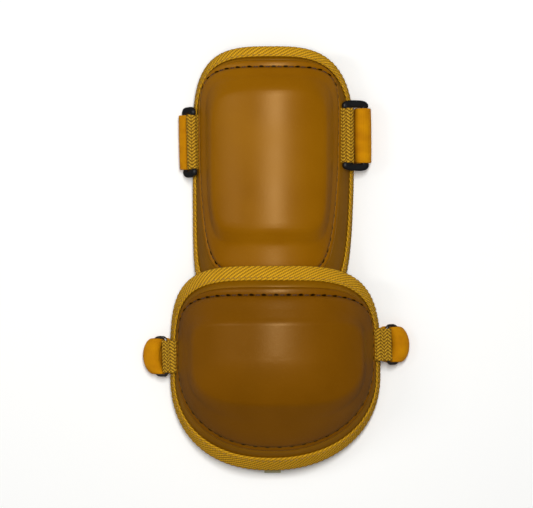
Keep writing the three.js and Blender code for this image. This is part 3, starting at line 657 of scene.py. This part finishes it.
def pad(name, plate, node_name):
    """The padded liner: the face from the core out to the edge, and the lining side back in. From
    under the tape to the shell's flange the cover is puffed up by part of a sine."""
    at = np.concatenate([np.linspace(0, 1.92, 30), [1.97, 2.0, 2.05, 2.3, 2.6, 3],
                         np.linspace(3.4, 9, 14)])
    face = ring_points(plate, at, PAD_AROUND)
    normals = ring_normals(face)
    way = np.clip((at - PUFF_FROM) / PUFF_LENGTH, 0, 1)
    puff = PUFF * np.sin(PUFF_SHARE * math.pi * way) * (at < PUFF_END)
    top = face + normals * puff[:, None, None]
    under = face - normals * thickness(plate, at)[:, None, None]
    points = np.concatenate([top[::-1], under])
    piece = put(name, points, pad_cover, [node_name])
    piece.data.materials.append(lining)
    # The lining takes the quads past the edge's first row, and the fan that closes the under side
    material_index = np.zeros(len(piece.data.polygons), np.int32)
    material_index[(len(at) + 1) * PAD_AROUND:(2 * len(at) - 1) * PAD_AROUND] = 1
    material_index[-PAD_AROUND:] = 1
    piece.data.polygons.foreach_set("material_index", material_index)
    return piece


def shell_height(plate, at):
    """Height of the shell's face above the pad at ring numbers at."""
    places, values = zip(*plate["relief"])
    return smooth_table(at, places, values)


def shell_face(plate, at, count):
    """The shell's face: the pad's rings raised along their normals by the relief."""
    base = ring_points(plate, at, count)
    return base + ring_normals(base) * shell_height(plate, at)[:, None, None]


def shell(name, plate, leather, node_name):
    """The moulded shell: the underside from the core out to the flange, a cut edge that bulges as a
    sine, and the face back in. UV is the way along the seam and the distance from it."""
    fine = np.concatenate([np.linspace(2, 3.4, 36), np.linspace(3.45, 7, 88),
                           np.linspace(7.2, 9, 14)])
    face = shell_face(plate, fine, SHELL_AROUND)
    under_base = ring_points(plate, np.linspace(9, 2, 16), SHELL_AROUND)
    under = under_base + ring_normals(under_base) * GAP
    outward = unit(under[-1] - under[-2])
    t = np.array([0.25, 0.5, 0.75])[:, None, None]
    rounding = under[-1] * (1 - t) + face[0] * t + outward * EDGE_BULGE * np.sin(math.pi * t)
    points = np.concatenate([under, rounding, face])
    seam = shell_face(plate, SEAM_RINGS, SHELL_AROUND)[1]
    run = lengths(seam)
    away = np.linalg.norm(face - seam, axis=-1) * np.where(fine < 3, -1, 1)[:, None]
    # The underside has no holes, so its map lies far from the seam
    far = np.full((len(points) - len(face), SHELL_AROUND), 50.0)
    across = np.concatenate([far, away])
    across = np.concatenate([across, across[:, :1]], 1)
    scale = STITCH_PITCH * round(run[-1] / STITCH_PITCH) / run[-1]
    uv = np.stack([np.broadcast_to(run * scale, across.shape), across], -1)
    return put(name, points, leather, [node_name], uv=uv)


def stitches(name, path, normals, pitch, length, radius, lift, material):
    """Stitches along a closed seam: each is a round thread whose middle stands up by lift and whose
    ends dip by STITCH_SINK radii, as a cosine of the way along it, at even pitch. It tapers with the
    root of that cosine. A fixed random draw turns each by up to 6 degrees and lifts it a little
    more or less, as hand-guided sewing does."""
    run = lengths(path)
    number = round(run[-1] / pitch)
    pitch = run[-1] / number
    t = np.linspace(-0.5, 0.5, 9)
    at = (np.arange(number)[:, None] + 0.5) * pitch + t[None] * length
    centre = along_loop(path, run, at.ravel()).reshape(number, len(t), 3)
    up = unit(along_loop(normals, run, at.ravel())).reshape(number, len(t), 3)
    along = unit(np.gradient(centre, axis=1))
    side = unit(np.cross(along, up))
    uneven = np.random.default_rng(number).uniform(-1, 1, (2, number, 1, 1))
    hump = np.cos(math.pi * t)
    rise = (lift + radius * STITCH_SINK) * hump - radius * STITCH_SINK
    centre = centre + up * (rise[None, :, None] + 0.3 * lift * uneven[0])
    centre = centre + side * uneven[1] * 0.1 * length * t[None, :, None]
    angle = np.linspace(0, 2 * math.pi, 7)[:-1]
    thin = radius * (STITCH_TAPER + (1 - STITCH_TAPER) * hump ** 0.5)
    section = (side[:, :, None] * np.cos(angle)[None, None, :, None]
               + up[:, :, None] * np.sin(angle)[None, None, :, None]) * thin[None, :, None, None]
    return put_many(name, centre[:, :, None] + section, material)


def binding(name, plate, node_name):
    """The tape folded round the pad's edge: its section runs from the lip over the edge, as half an
    ellipse, and under to the lip again, then back along the inside. Its faces swell by a sine of
    the way from lip to edge. Diagonal ribs stand out as the size of a cosine of the way along less
    the way across."""
    at = np.linspace(1, 0, 9)
    base = ring_points(plate, at, TAPE_AROUND)
    normals = ring_normals(base)
    thick = thickness(plate, at)[:, None, None]
    edge, edge_normal = base[-1], normals[-1]
    around = unit(np.roll(edge, -1, 0) - np.roll(edge, 1, 0))
    out = unit(np.cross(around, edge_normal))
    out = out * np.sign(np.sum(out * (edge - base[0]), -1, keepdims=True))
    swell = (TAPE_SWELL * np.sin(math.pi * (1 - at)))[:, None, None]
    over = base + normals * (GAP + TAPE + swell)
    under = (base - normals * (thick + GAP + TAPE + swell))[::-1]
    half = thick[-1] / 2
    angle = np.linspace(0, math.pi, 11)[1:-1, None, None]
    rim = (edge - edge_normal * half + edge_normal * np.cos(angle) * (half + GAP + TAPE)
           + out * np.sin(angle) * (GAP + TAPE))
    outer = np.concatenate([over, rim, under])
    way = np.linalg.norm(np.diff(outer, axis=0), axis=-1).mean(1)
    way = np.concatenate([[0], np.cumsum(way)])
    run = lengths(edge)
    turn = math.radians(RIB_ANGLE)
    ribs = round(run[-1] * math.cos(turn) / RIB_PITCH)
    scale = ribs * RIB_PITCH / math.cos(turn) / run[-1]
    phase = (run[None, :-1] * scale * math.cos(turn) - way[:, None] * math.sin(turn)) / RIB_PITCH
    outer_normal = unit(np.cross(np.roll(outer, -1, 1) - np.roll(outer, 1, 1),
                                 np.gradient(outer, axis=0)))
    outer_normal = outer_normal * np.sign(outer_normal[:len(at), :, 2].mean())
    rib = np.abs(np.cos(math.pi * phase))[..., None]
    outer = outer + outer_normal * (RIB_RELIEF * rib - RIB_SINK)
    inner_under = base - normals * (thick + GAP)
    inner_over = (base + normals * GAP)[::-1]
    points = np.concatenate([outer, inner_under[::2], inner_over[::2]])
    inside = way[-1] + 1.0 + np.arange(len(points) - len(outer) + 1)
    v = np.concatenate([way, inside])
    uv = np.stack([np.broadcast_to(run * scale, (len(v), len(run))),
                   np.broadcast_to(v[:, None], (len(v), len(run)))], -1)
    return put(name, points, twill, [node_name], uv=uv, loop=True)


def tape_stitches(name, plate):
    """The small stitches that hold the tape, a fifth of its face in from its upper lip."""
    base = ring_points(plate, np.array([0.72, 0.8, 0.88]), SHELL_AROUND)
    normals = ring_normals(base)
    path = base[1] + normals[1] * (GAP + TAPE + TAPE_STITCH_RISE)
    return stitches(name, path, normals[1], TAPE_STITCH_PITCH, TAPE_STITCH_LENGTH, TAPE_THREAD,
                    TAPE_STITCH_LIFT, tape_thread)


def seam_stitches(name, plate):
    """The long dark stitches that hold the shell, in the groove along its seam."""
    face = shell_face(plate, SEAM_RINGS, SHELL_AROUND)
    return stitches(name, face[1], ring_normals(face)[1], STITCH_PITCH, STITCH_LENGTH, THREAD,
                    STITCH_LIFT, seam_thread)


for label, plate, leather in (("arm", ARM, arm_leather), ("elbow", CUP, shaded_cup_leather)):
    pad(label + "_padded_liner", plate, label + "_pad")
    shell(label + "_moulded_shell", plate, leather, label + "_shell")
    binding(label + "_edge_tape", plate, label + "_binding")
    seam_stitches(label + "_seam_stitches", plate)
    tape_stitches(label + "_tape_stitches", plate)

# Where the four rings lie: inner bar's centre, tilt and twist in degrees, as in the CAD
FITTINGS = {
    "arm_left": dict(plate=ARM, side=-1, x=50.4, z=15.6, tilt=68.0, y=STRAP_Y["arm"][0], twist=1.2),
    "arm_right": dict(plate=ARM, side=1, x=43.6, z=17.4, tilt=30.0, y=STRAP_Y["arm"][1], twist=0.5),
    "elbow_left": dict(plate=CUP, side=-1, x=66.2, z=10.8, tilt=32.0, y=STRAP_Y["elbow"][0], twist=2.0),
    "elbow_right": dict(plate=CUP, side=1, x=67.3, z=12.6, tilt=40.0, y=STRAP_Y["elbow"][1], twist=2.0),
}

# The webbing loops, and the elastic straps: folded ends, turns in the rings and lean outside them
WEB_THICK = 1.3
WEB_WIDTH = {"arm": 33.0, "elbow": 19.4}
STRAP_THICK = 1.5
STRAP_WIDTH = {"arm": 33.0, "elbow": 20.0}
STRAP_FOLD = 34.0
STRAP_TURN = 2.2
STRAP_LEAN = 4.0

# The plastic ring: bar, way from inner to outer bar, and inside length. Where its ends lie, as a
# share of half its length, it is wider and reaches out past its two bars, more on the webbing's side.
LOOP_BAR = 3.4
LOOP_SPAN = 11.0
LOOP_INSIDE = 34.6
LOOP_END = 0.87
LOOP_END_BLEND = 0.08
LOOP_END_WIDER = 1.1
LOOP_END_OUT = 2.0
LOOP_END_IN = 2.4
LOOP_POWER_X = 0.45
LOOP_POWER_Y = 0.22

# The power of a bar's oval section, and the D-ring: wire, legs, depth of the bow and half its length
BAR_POWER = 0.8
WIRE = 1.9
DEE_LEG = 4.4
DEE_BOW = 7.0
DEE_HALF = 11.35

# How a strap sits in a ring: its spread and its fall on a D-ring's bow, which starts FALL_FROM before
# the bar, the slack over the wire, and its fuller inner side: how full all along and inside the ring,
# the height where it starts, the height over which it grows, and the share of a turn of its cosine
SPREAD = 0.08
FALL_FROM = 14.0
FALL_LENGTH = 9.0
ARC_SLACK = 1.3
STRAP_SWELL = 0.9
STRAP_FILL = 2.1
SWELL_FLOOR = 3.5
SWELL_RISE = 3.0
SWELL_TURN = 0.55

# How the webbing loops stand off the shell's flange, outwards and up. Their sewn end: the share of
# half past which a flange point lies on the side, how far the end lies in from the loop and under the
# cover, and the share of the upper strand that bends down to it
WEB_CLEAR = {"arm": 5 * GAP, "elbow": 4.4 * GAP}
WEB_LIFT = {"arm": WEB_THICK + 2 * GAP, "elbow": WEB_THICK + TAPE + 4 * GAP}
SIDE_SHARE = 0.7
SEWN_IN = 0.6
SEWN_UNDER = 0.2
SEWN_BEND = 0.3


def arc(centre, radius, start, end, count):
    """Points round a centre in the X-Z plane, from one angle to another in degrees."""
    angle = np.radians(np.linspace(start, end, count))
    return np.stack([centre[0] + radius * np.cos(angle), centre[1] + radius * np.sin(angle)], -1)


def bezier(corners, count):
    """A curve over its control points: the sum of each by its Bernstein weight."""
    t = np.linspace(0, 1, count)[:, None]
    order = len(corners) - 1
    return sum(math.comb(order, k) * t ** k * (1 - t) ** (order - k) * np.asarray(corner, float)
               for k, corner in enumerate(corners))


def even_path(points, step):
    """An open line of points cut again at even steps of its length."""
    length = np.concatenate([[0], np.cumsum(np.linalg.norm(np.diff(points, axis=0), axis=1))])
    at = np.linspace(0, length[-1], max(2, round(length[-1] / step)))
    return np.stack([np.interp(at, length, points[:, k]) for k in range(points.shape[1])], -1)


def band(name, path, thick, width, place, material, replaces=(), across=22, fall=None,
         swell=0.0):
    """A band carried along a path in the X-Z plane. Its section is a flat oval: straight faces with
    half circles at the two edges. place(x, y) gives plan coordinates, and fall(path x, y) gives the
    factor by which the band spreads and how far it moves in on a curved bar. swell thickens its
    right side, seen along the path, most in the middle of the width, as the root of a cosine."""
    along = unit(np.gradient(path, axis=0))
    half = thick / 2
    flat = np.linspace(-1, 1, across) * (width / 2 - half)
    bend = np.linspace(0, math.pi, 7)[1:-1]
    y = np.concatenate([flat, width / 2 - half + half * np.sin(bend),
                        flat[::-1], -(width / 2 - half) - half * np.sin(bend)])
    up = np.concatenate([np.full(across, half), half * np.cos(bend),
                         np.full(across, -half), -half * np.cos(bend)])
    middle = np.cos(SWELL_TURN * math.pi * y / width) ** 0.5
    fuller = np.reshape(swell, (-1, 1)) * (up < 0) * middle[None]
    x = path[:, :1] - along[:, 1:] * (up[None] - fuller)
    z = path[:, 1:] + along[:, :1] * (up[None] - fuller)
    y = np.broadcast_to(y, x.shape)
    if fall is not None:
        spread, shift = fall(path[:, :1], y)
        y = y * spread
        x = x + shift
    plan_x, plan_y = place(x, y)
    points = np.stack([plan_x + OFFSET[0], plan_y + OFFSET[1], z], -1)
    run = np.concatenate([[0], np.cumsum(np.linalg.norm(np.diff(path, axis=0), axis=1))])
    girth = np.concatenate([np.abs(y[0] - y[0, 0]), [0.0]])
    uv = np.stack(np.broadcast_arrays(run[:, None], girth[None]), -1)
    return put(name, points, material, replaces, uv=uv)


def mirrored(side, path):
    """A path drawn for the right side, turned to the left one where side is -1."""
    return path * np.array([side, 1.0])


def twisted(fitting):
    """Plan coordinates of a fitting's own x and y, turned a little about its inner bar."""
    lean = math.tan(math.radians(fitting["twist"]))
    return lambda x, y: (x - lean * y, fitting["y"] + y)


def webbing(name, fitting, width, bar, clear, lift, node_name):
    """Webbing sewn to the pad beside the shell's flange: a cubic curve up from the sewn end, which
    hides the strands' ends, two strands on tangents to the ring's inner bar, and the arc between."""
    plate, side = fitting["plate"], fitting["side"]
    lip, flange = ring_points(plate, np.array([1.0, 2.0]), SHELL_AROUND) - np.array([*OFFSET, 0])
    on_side = np.flatnonzero(side * (flange[:, 0] - plate["x"]) > SIDE_SHARE * plate["half"])
    nearest = on_side[np.argmin(np.abs(flange[on_side, 1] - fitting["y"]))]
    start = np.abs(flange[nearest])[[0, 2]]
    outward = unit(np.abs(lip[nearest])[[0, 2]] - start)
    upward = np.array([-outward[1], outward[0]])
    sewn = start + outward * (clear - SEWN_IN) - upward * SEWN_UNDER
    anchor = start + outward * clear + upward * lift
    centre = np.array([fitting["x"], fitting["z"]])
    run = centre - anchor
    lean = math.degrees(math.atan2(run[1], run[0]))
    strand = (WEB_THICK + GAP) / 2
    radius = bar / 2 + GAP + WEB_THICK / 2
    opening = math.degrees(math.asin(min(1.0, (radius - strand) / np.linalg.norm(run))))
    across = unit(np.array([-run[1], run[0]]))
    loop = arc(centre, radius, lean + 90 + opening, lean - 90 - opening, 25)
    upper, lower = anchor + across * strand, anchor - across * strand
    high = sewn + upward * (lift + WEB_THICK)
    shoulder = bezier([sewn, high, upper, upper + run * SEWN_BEND], 13)
    path = np.concatenate([shoulder, loop, [lower]])
    return band(name, mirrored(side, even_path(path, 0.35)), WEB_THICK, width, twisted(fitting),
                web_cloth, [node_name], across=30)


def strap_end(bar, diameter):
    """One end of a strap on the right side: from the folded end along the floor, up inside the
    ring, round its outer bar and down outside it to the floor."""
    radius = diameter / 2 + GAP + STRAP_THICK / 2
    floor = STRAP_THICK / 2
    second = floor + STRAP_THICK + GAP
    slot = bar[0] - radius
    lean = math.atan2(STRAP_LEAN, bar[1] - floor)
    loop = arc(bar, radius, 180, -math.degrees(lean), 31)
    leaving = loop[-1]
    landing = leaving[0] - (leaving[1] - floor) * math.tan(lean)
    turn = bezier([(slot - STRAP_TURN, second), (slot, second), (slot, second + STRAP_TURN)], 9)
    back = bezier([leaving, (landing, floor), (min(landing, slot) - STRAP_TURN, floor)], 13)
    return np.concatenate([[(bar[0] - STRAP_FOLD, second)], turn, [(slot, bar[1])], loop[1:],
                           back[1:]])


def outer_bar(fitting, span):
    """Centre of a ring's outer bar, with x outwards from the middle."""
    tilt = math.radians(fitting["tilt"])
    return np.array([fitting["x"] + span * math.cos(tilt), fitting["z"] - span * math.sin(tilt)])


def strap(name, left, right, span, diameter, width, node_name, on_arc):
    """An elastic strap from one folded end round both rings to the other folded end. On a D-ring
    it spreads a little and falls back with the ring's elliptical arc, both by a smooth step, and
    its inner side is fuller where it goes round a bar."""
    bars = {-1: outer_bar(left, span), 1: outer_bar(right, span)}
    path = np.concatenate([mirrored(-1, strap_end(bars[-1], diameter)),
                           strap_end(bars[1], diameter)[::-1]])
    path = even_path(path, 0.8)
    ends = (-left["x"], right["x"])

    def place(x, y):
        share = np.clip((x - ends[0]) / (ends[1] - ends[0]), 0, 1)
        twist = np.radians(left["twist"] + (right["twist"] - left["twist"]) * share)
        return x - np.tan(twist) * y, left["y"] + (right["y"] - left["y"]) * share + y

    def fall(x, y):
        bar = np.where(x > 0, bars[1][0], bars[-1][0])
        near = smooth_step((np.abs(x) - bar + FALL_FROM) / FALL_LENGTH)
        spread = 1 + SPREAD * near
        back = DEE_BOW * (1 - np.sqrt(1 - (y * spread / DEE_HALF) ** 2))
        return spread, -np.sign(x) * back * near

    rise = smooth_step((path[:, 1] - SWELL_FLOOR) / SWELL_RISE)
    bar_x = np.where(path[:, 0] > 0, bars[1][0], bars[-1][0])
    inside = np.clip((bar_x - np.abs(path[:, 0])) / diameter, 0, 1)
    swell = (STRAP_SWELL + STRAP_FILL * inside) * rise
    return band(name, path, STRAP_THICK, width, place, elastic_cloth, [node_name],
                across=26, fall=fall if on_arc else None, swell=swell)


def ring_tube(name, fitting, outline, wide, thick, material, node_name):
    """A ring's bar of oval section, wide in the ring's plane and thick across it, carried round a
    closed outline whose x is away from the inner bar and whose y is along it. The oval's cosine and
    sine are raised to a power."""
    side, tilt = fitting["side"], math.radians(fitting["tilt"])
    place = twisted(fitting)
    x, y = place(side * (fitting["x"] + outline[:, 0] * math.cos(tilt)), outline[:, 1])
    centre = np.stack([x + OFFSET[0], y + OFFSET[1], fitting["z"] - outline[:, 0] * math.sin(tilt)], -1)
    flat = np.array([math.sin(tilt) * side, 0, math.cos(tilt)])
    along = unit(np.roll(centre, -1, 0) - np.roll(centre, 1, 0))
    across = unit(np.cross(flat, along))
    cos, sin = superellipse(20, BAR_POWER, BAR_POWER)
    points = (centre[:, None] + across[:, None] * (cos[None] * wide[:, None] / 2)[..., None]
              + flat * (sin * thick / 2)[None, :, None])
    return put(name, points, material, [node_name], loop=True)


def loop_outline():
    """The plastic ring's centre line: a rectangle whose corners are superelliptic, with broad ends
    beyond the webbing's edges, which come in by a smooth step. Gives the points and the bar's width
    at each."""
    x, y = superellipse(240, LOOP_POWER_X, LOOP_POWER_Y)
    at_end = smooth_step((np.abs(y) - LOOP_END) / LOOP_END_BLEND)
    wide = LOOP_BAR + LOOP_END_WIDER * at_end
    half = (LOOP_INSIDE + LOOP_BAR) / 2
    reach = LOOP_SPAN / 2 + (LOOP_END_OUT + LOOP_END_IN * np.clip(-x, 0, 1)) * at_end
    return np.stack([LOOP_SPAN / 2 + x * reach, y * half], -1), wide


def dee_outline():
    """The D-ring's centre line: a half ellipse, two short legs, and a straight bar with corners of
    one wire's radius."""
    bow = arc((0, 0), 1, -90, 90, 61) * np.array([DEE_BOW, DEE_HALF]) + np.array([DEE_LEG, 0])
    upper = arc((WIRE, DEE_HALF - WIRE), WIRE, 90, 180, 9)
    lower = arc((WIRE, WIRE - DEE_HALF), WIRE, 180, 270, 9)
    line = np.concatenate([bow, upper, lower, bow[:1]])
    return even_path(line, 0.5)[:-1]


for side in ("left", "right"):
    fitting = FITTINGS["arm_" + side]
    webbing(f"arm_webbing_loop_{side}", fitting, WEB_WIDTH["arm"], LOOP_BAR, WEB_CLEAR["arm"],
            WEB_LIFT["arm"], f"arm_webbing_{side}")
    outline, wide = loop_outline()
    ring_tube(f"arm_acetal_ring_{side}", fitting, outline, wide, LOOP_BAR, acetal,
              f"arm_ring_{side}")
    fitting = FITTINGS["elbow_" + side]
    webbing(f"elbow_webbing_loop_{side}", fitting, WEB_WIDTH["elbow"], WIRE, WEB_CLEAR["elbow"],
            WEB_LIFT["elbow"], f"elbow_webbing_{side}")
    outline = dee_outline()
    ring_tube(f"elbow_wire_dring_{side}", fitting, outline, np.full(len(outline), WIRE), WIRE,
              nickel, f"elbow_dring_{side}")
strap("arm_elastic_strap", FITTINGS["arm_left"], FITTINGS["arm_right"], LOOP_SPAN, LOOP_BAR,
      STRAP_WIDTH["arm"], "arm_strap", False)
strap("elbow_elastic_strap", FITTINGS["elbow_left"], FITTINGS["elbow_right"], DEE_LEG + DEE_BOW,
      WIRE + 2 * ARC_SLACK, STRAP_WIDTH["elbow"], "elbow_strap", True)


# The strip that joins the halves: its level ends under the arm and the cup, the slope between them
# and the reach of its curve's control points. Then the folded tab, and how far it lies to the right.
HINGE_WIDTH = 22.0
HINGE_THICK = 1.6
HINGE_UNDER_ARM = 5.0
HINGE_SLOPE = 14.0
HINGE_EASE = 9.1
HINGE_UNDER_CUP = 26.0
TAB_WIDTH = 10.0
TAB_THICK = 0.9
TAB_INSIDE = 7.0
TAB_OUTSIDE = 9.4
TAB_TO_RIGHT = 1.5


def sag(plate):
    """How far a plate's arch falls from its middle to the edge of the hinge strip."""
    reach = (HINGE_WIDTH / 2 + abs(plate["x"] - OFFSET[0])) / plate["half"]
    share = min(arch(reach, slope) for slope in plate["slope"])
    return (crown(plate, plate["y"]) - EDGE_HEIGHT) * (1 - share)


def hinge_strip():
    """The strip that joins the halves: level under the arm pad's hidden end, a cubic curve up, and
    level along the cup's lining."""
    end = ARM["y"] - OFFSET[1] - ARM["down"]
    below = 1.5 * GAP + HINGE_THICK / 2
    tape_share = ARM["rings"][1][-1]
    low = ARM["crown"] - tape_share * ARM["thick"] - GAP - TAPE - sag(ARM) - below
    high = CUP["crown"] - CUP["thick"] - sag(CUP) - below
    top = end - HINGE_SLOPE
    rise = bezier([(end, low), (end - HINGE_EASE, low), (top + HINGE_EASE, high), (top, high)], 25)
    path = np.concatenate([[(end + HINGE_UNDER_ARM, low)], rise, [(end - HINGE_UNDER_CUP, high)]])
    band("leather_hinge_strip", even_path(path, 0.5), HINGE_THICK, HINGE_WIDTH,
         lambda x, y: (y, x), pad_cover, ["hinge_strip"])


def hem_tab():
    """The folded tab under the cup's lower hem: a flat oval section with half circles at its edges,
    carried straight out from under the tape."""
    rings = ring_points(CUP, np.array([0.0, 1.0]), SHELL_AROUND)
    lower_end = SHELL_AROUND // 2
    edge, lip = rings[:, lower_end]
    out = unit(edge - lip)
    normal = ring_normals(rings)[0, lower_end]
    below = CUP["rings"][1][-1] * CUP["thick"] + 2.7 * GAP + TAPE + TAB_THICK / 2
    start = (edge - normal * below - np.array([*OFFSET, 0]))[[1, 2]]
    path = start + np.linspace(-TAB_INSIDE, TAB_OUTSIDE, 41)[:, None] * out[[1, 2]]
    middle = edge[0] - OFFSET[0] + TAB_TO_RIGHT
    band("woven_hem_tab", path, TAB_THICK, TAB_WIDTH, lambda x, y: (middle + y, x),
         grey_cloth, ["hem_tab"])


hinge_strip()
hem_tab()

# The camera looks straight down, with one photograph pixel at the middle height as wide as PIXEL.
lens = bpy.data.cameras.new("camera")
lens.sensor_width = 36.0
lens.lens = 36.0 * VIEW_HEIGHT / (IMAGE[0] * PIXEL)
camera = bpy.data.objects.new("camera", lens)
camera.location = Vector((VIEW_CENTRE[0], VIEW_CENTRE[1], MIDDLE_HEIGHT + VIEW_HEIGHT)) * MM
bpy.context.scene.collection.objects.link(camera)
bpy.context.scene.camera = camera


def soft_light(name, place, width, length, power, mirrored=True):
    """A rectangular soft box at place, in metres, that faces the guard, its length along Y. Gloss
    doesn't mirror it where mirrored is False."""
    data = bpy.data.lights.new(name, "AREA")
    data.shape = "RECTANGLE"
    data.size = width
    data.size_y = length
    data.energy = power
    light = bpy.data.objects.new(name, data)
    light.visible_camera = mirrored
    light.visible_glossy = mirrored
    light.matrix_world = (Matrix.Translation(place)
                          @ Vector(place).to_track_quat("Z", "Y").to_matrix().to_4x4())
    bpy.context.scene.collection.objects.link(light)


soft_light("overhead_box", (0.045, 0.19, 1.1), 0.13, 0.5, 9.0)
soft_light("left_box", (-0.88, 0.2, 0.92), 0.09, 0.5, 2.3)
soft_light("high_fill", (0.0, 0.0, 2.4), 4.0, 4.0, 25.0, mirrored=False)

world = bpy.data.worlds.new("studio")
world.use_nodes = True
world.node_tree.nodes["Background"].inputs["Color"].default_value = (1, 1, 1, 1)
world.node_tree.nodes["Background"].inputs["Strength"].default_value = 0.07
bpy.context.scene.world = world
bpy.context.scene.view_settings.view_transform = "Standard"


def pale_floor():
    """A plain square of matt near-white board, on which the guard lies. Gloss doesn't mirror it."""
    half = 3.0
    mesh = bpy.data.meshes.new("floor")
    mesh.from_pydata([(-half, -half, 0), (half, -half, 0), (half, half, 0), (-half, half, 0)], [],
                     [(0, 1, 2, 3)])
    board = new_material("matt_white_board")
    close_material(board, linear("#FAFAF8"), 0.9)
    mesh.materials.append(board)
    floor = bpy.data.objects.new("floor", mesh)
    floor.visible_glossy = False
    bpy.context.scene.collection.objects.link(floor)


pale_floor()
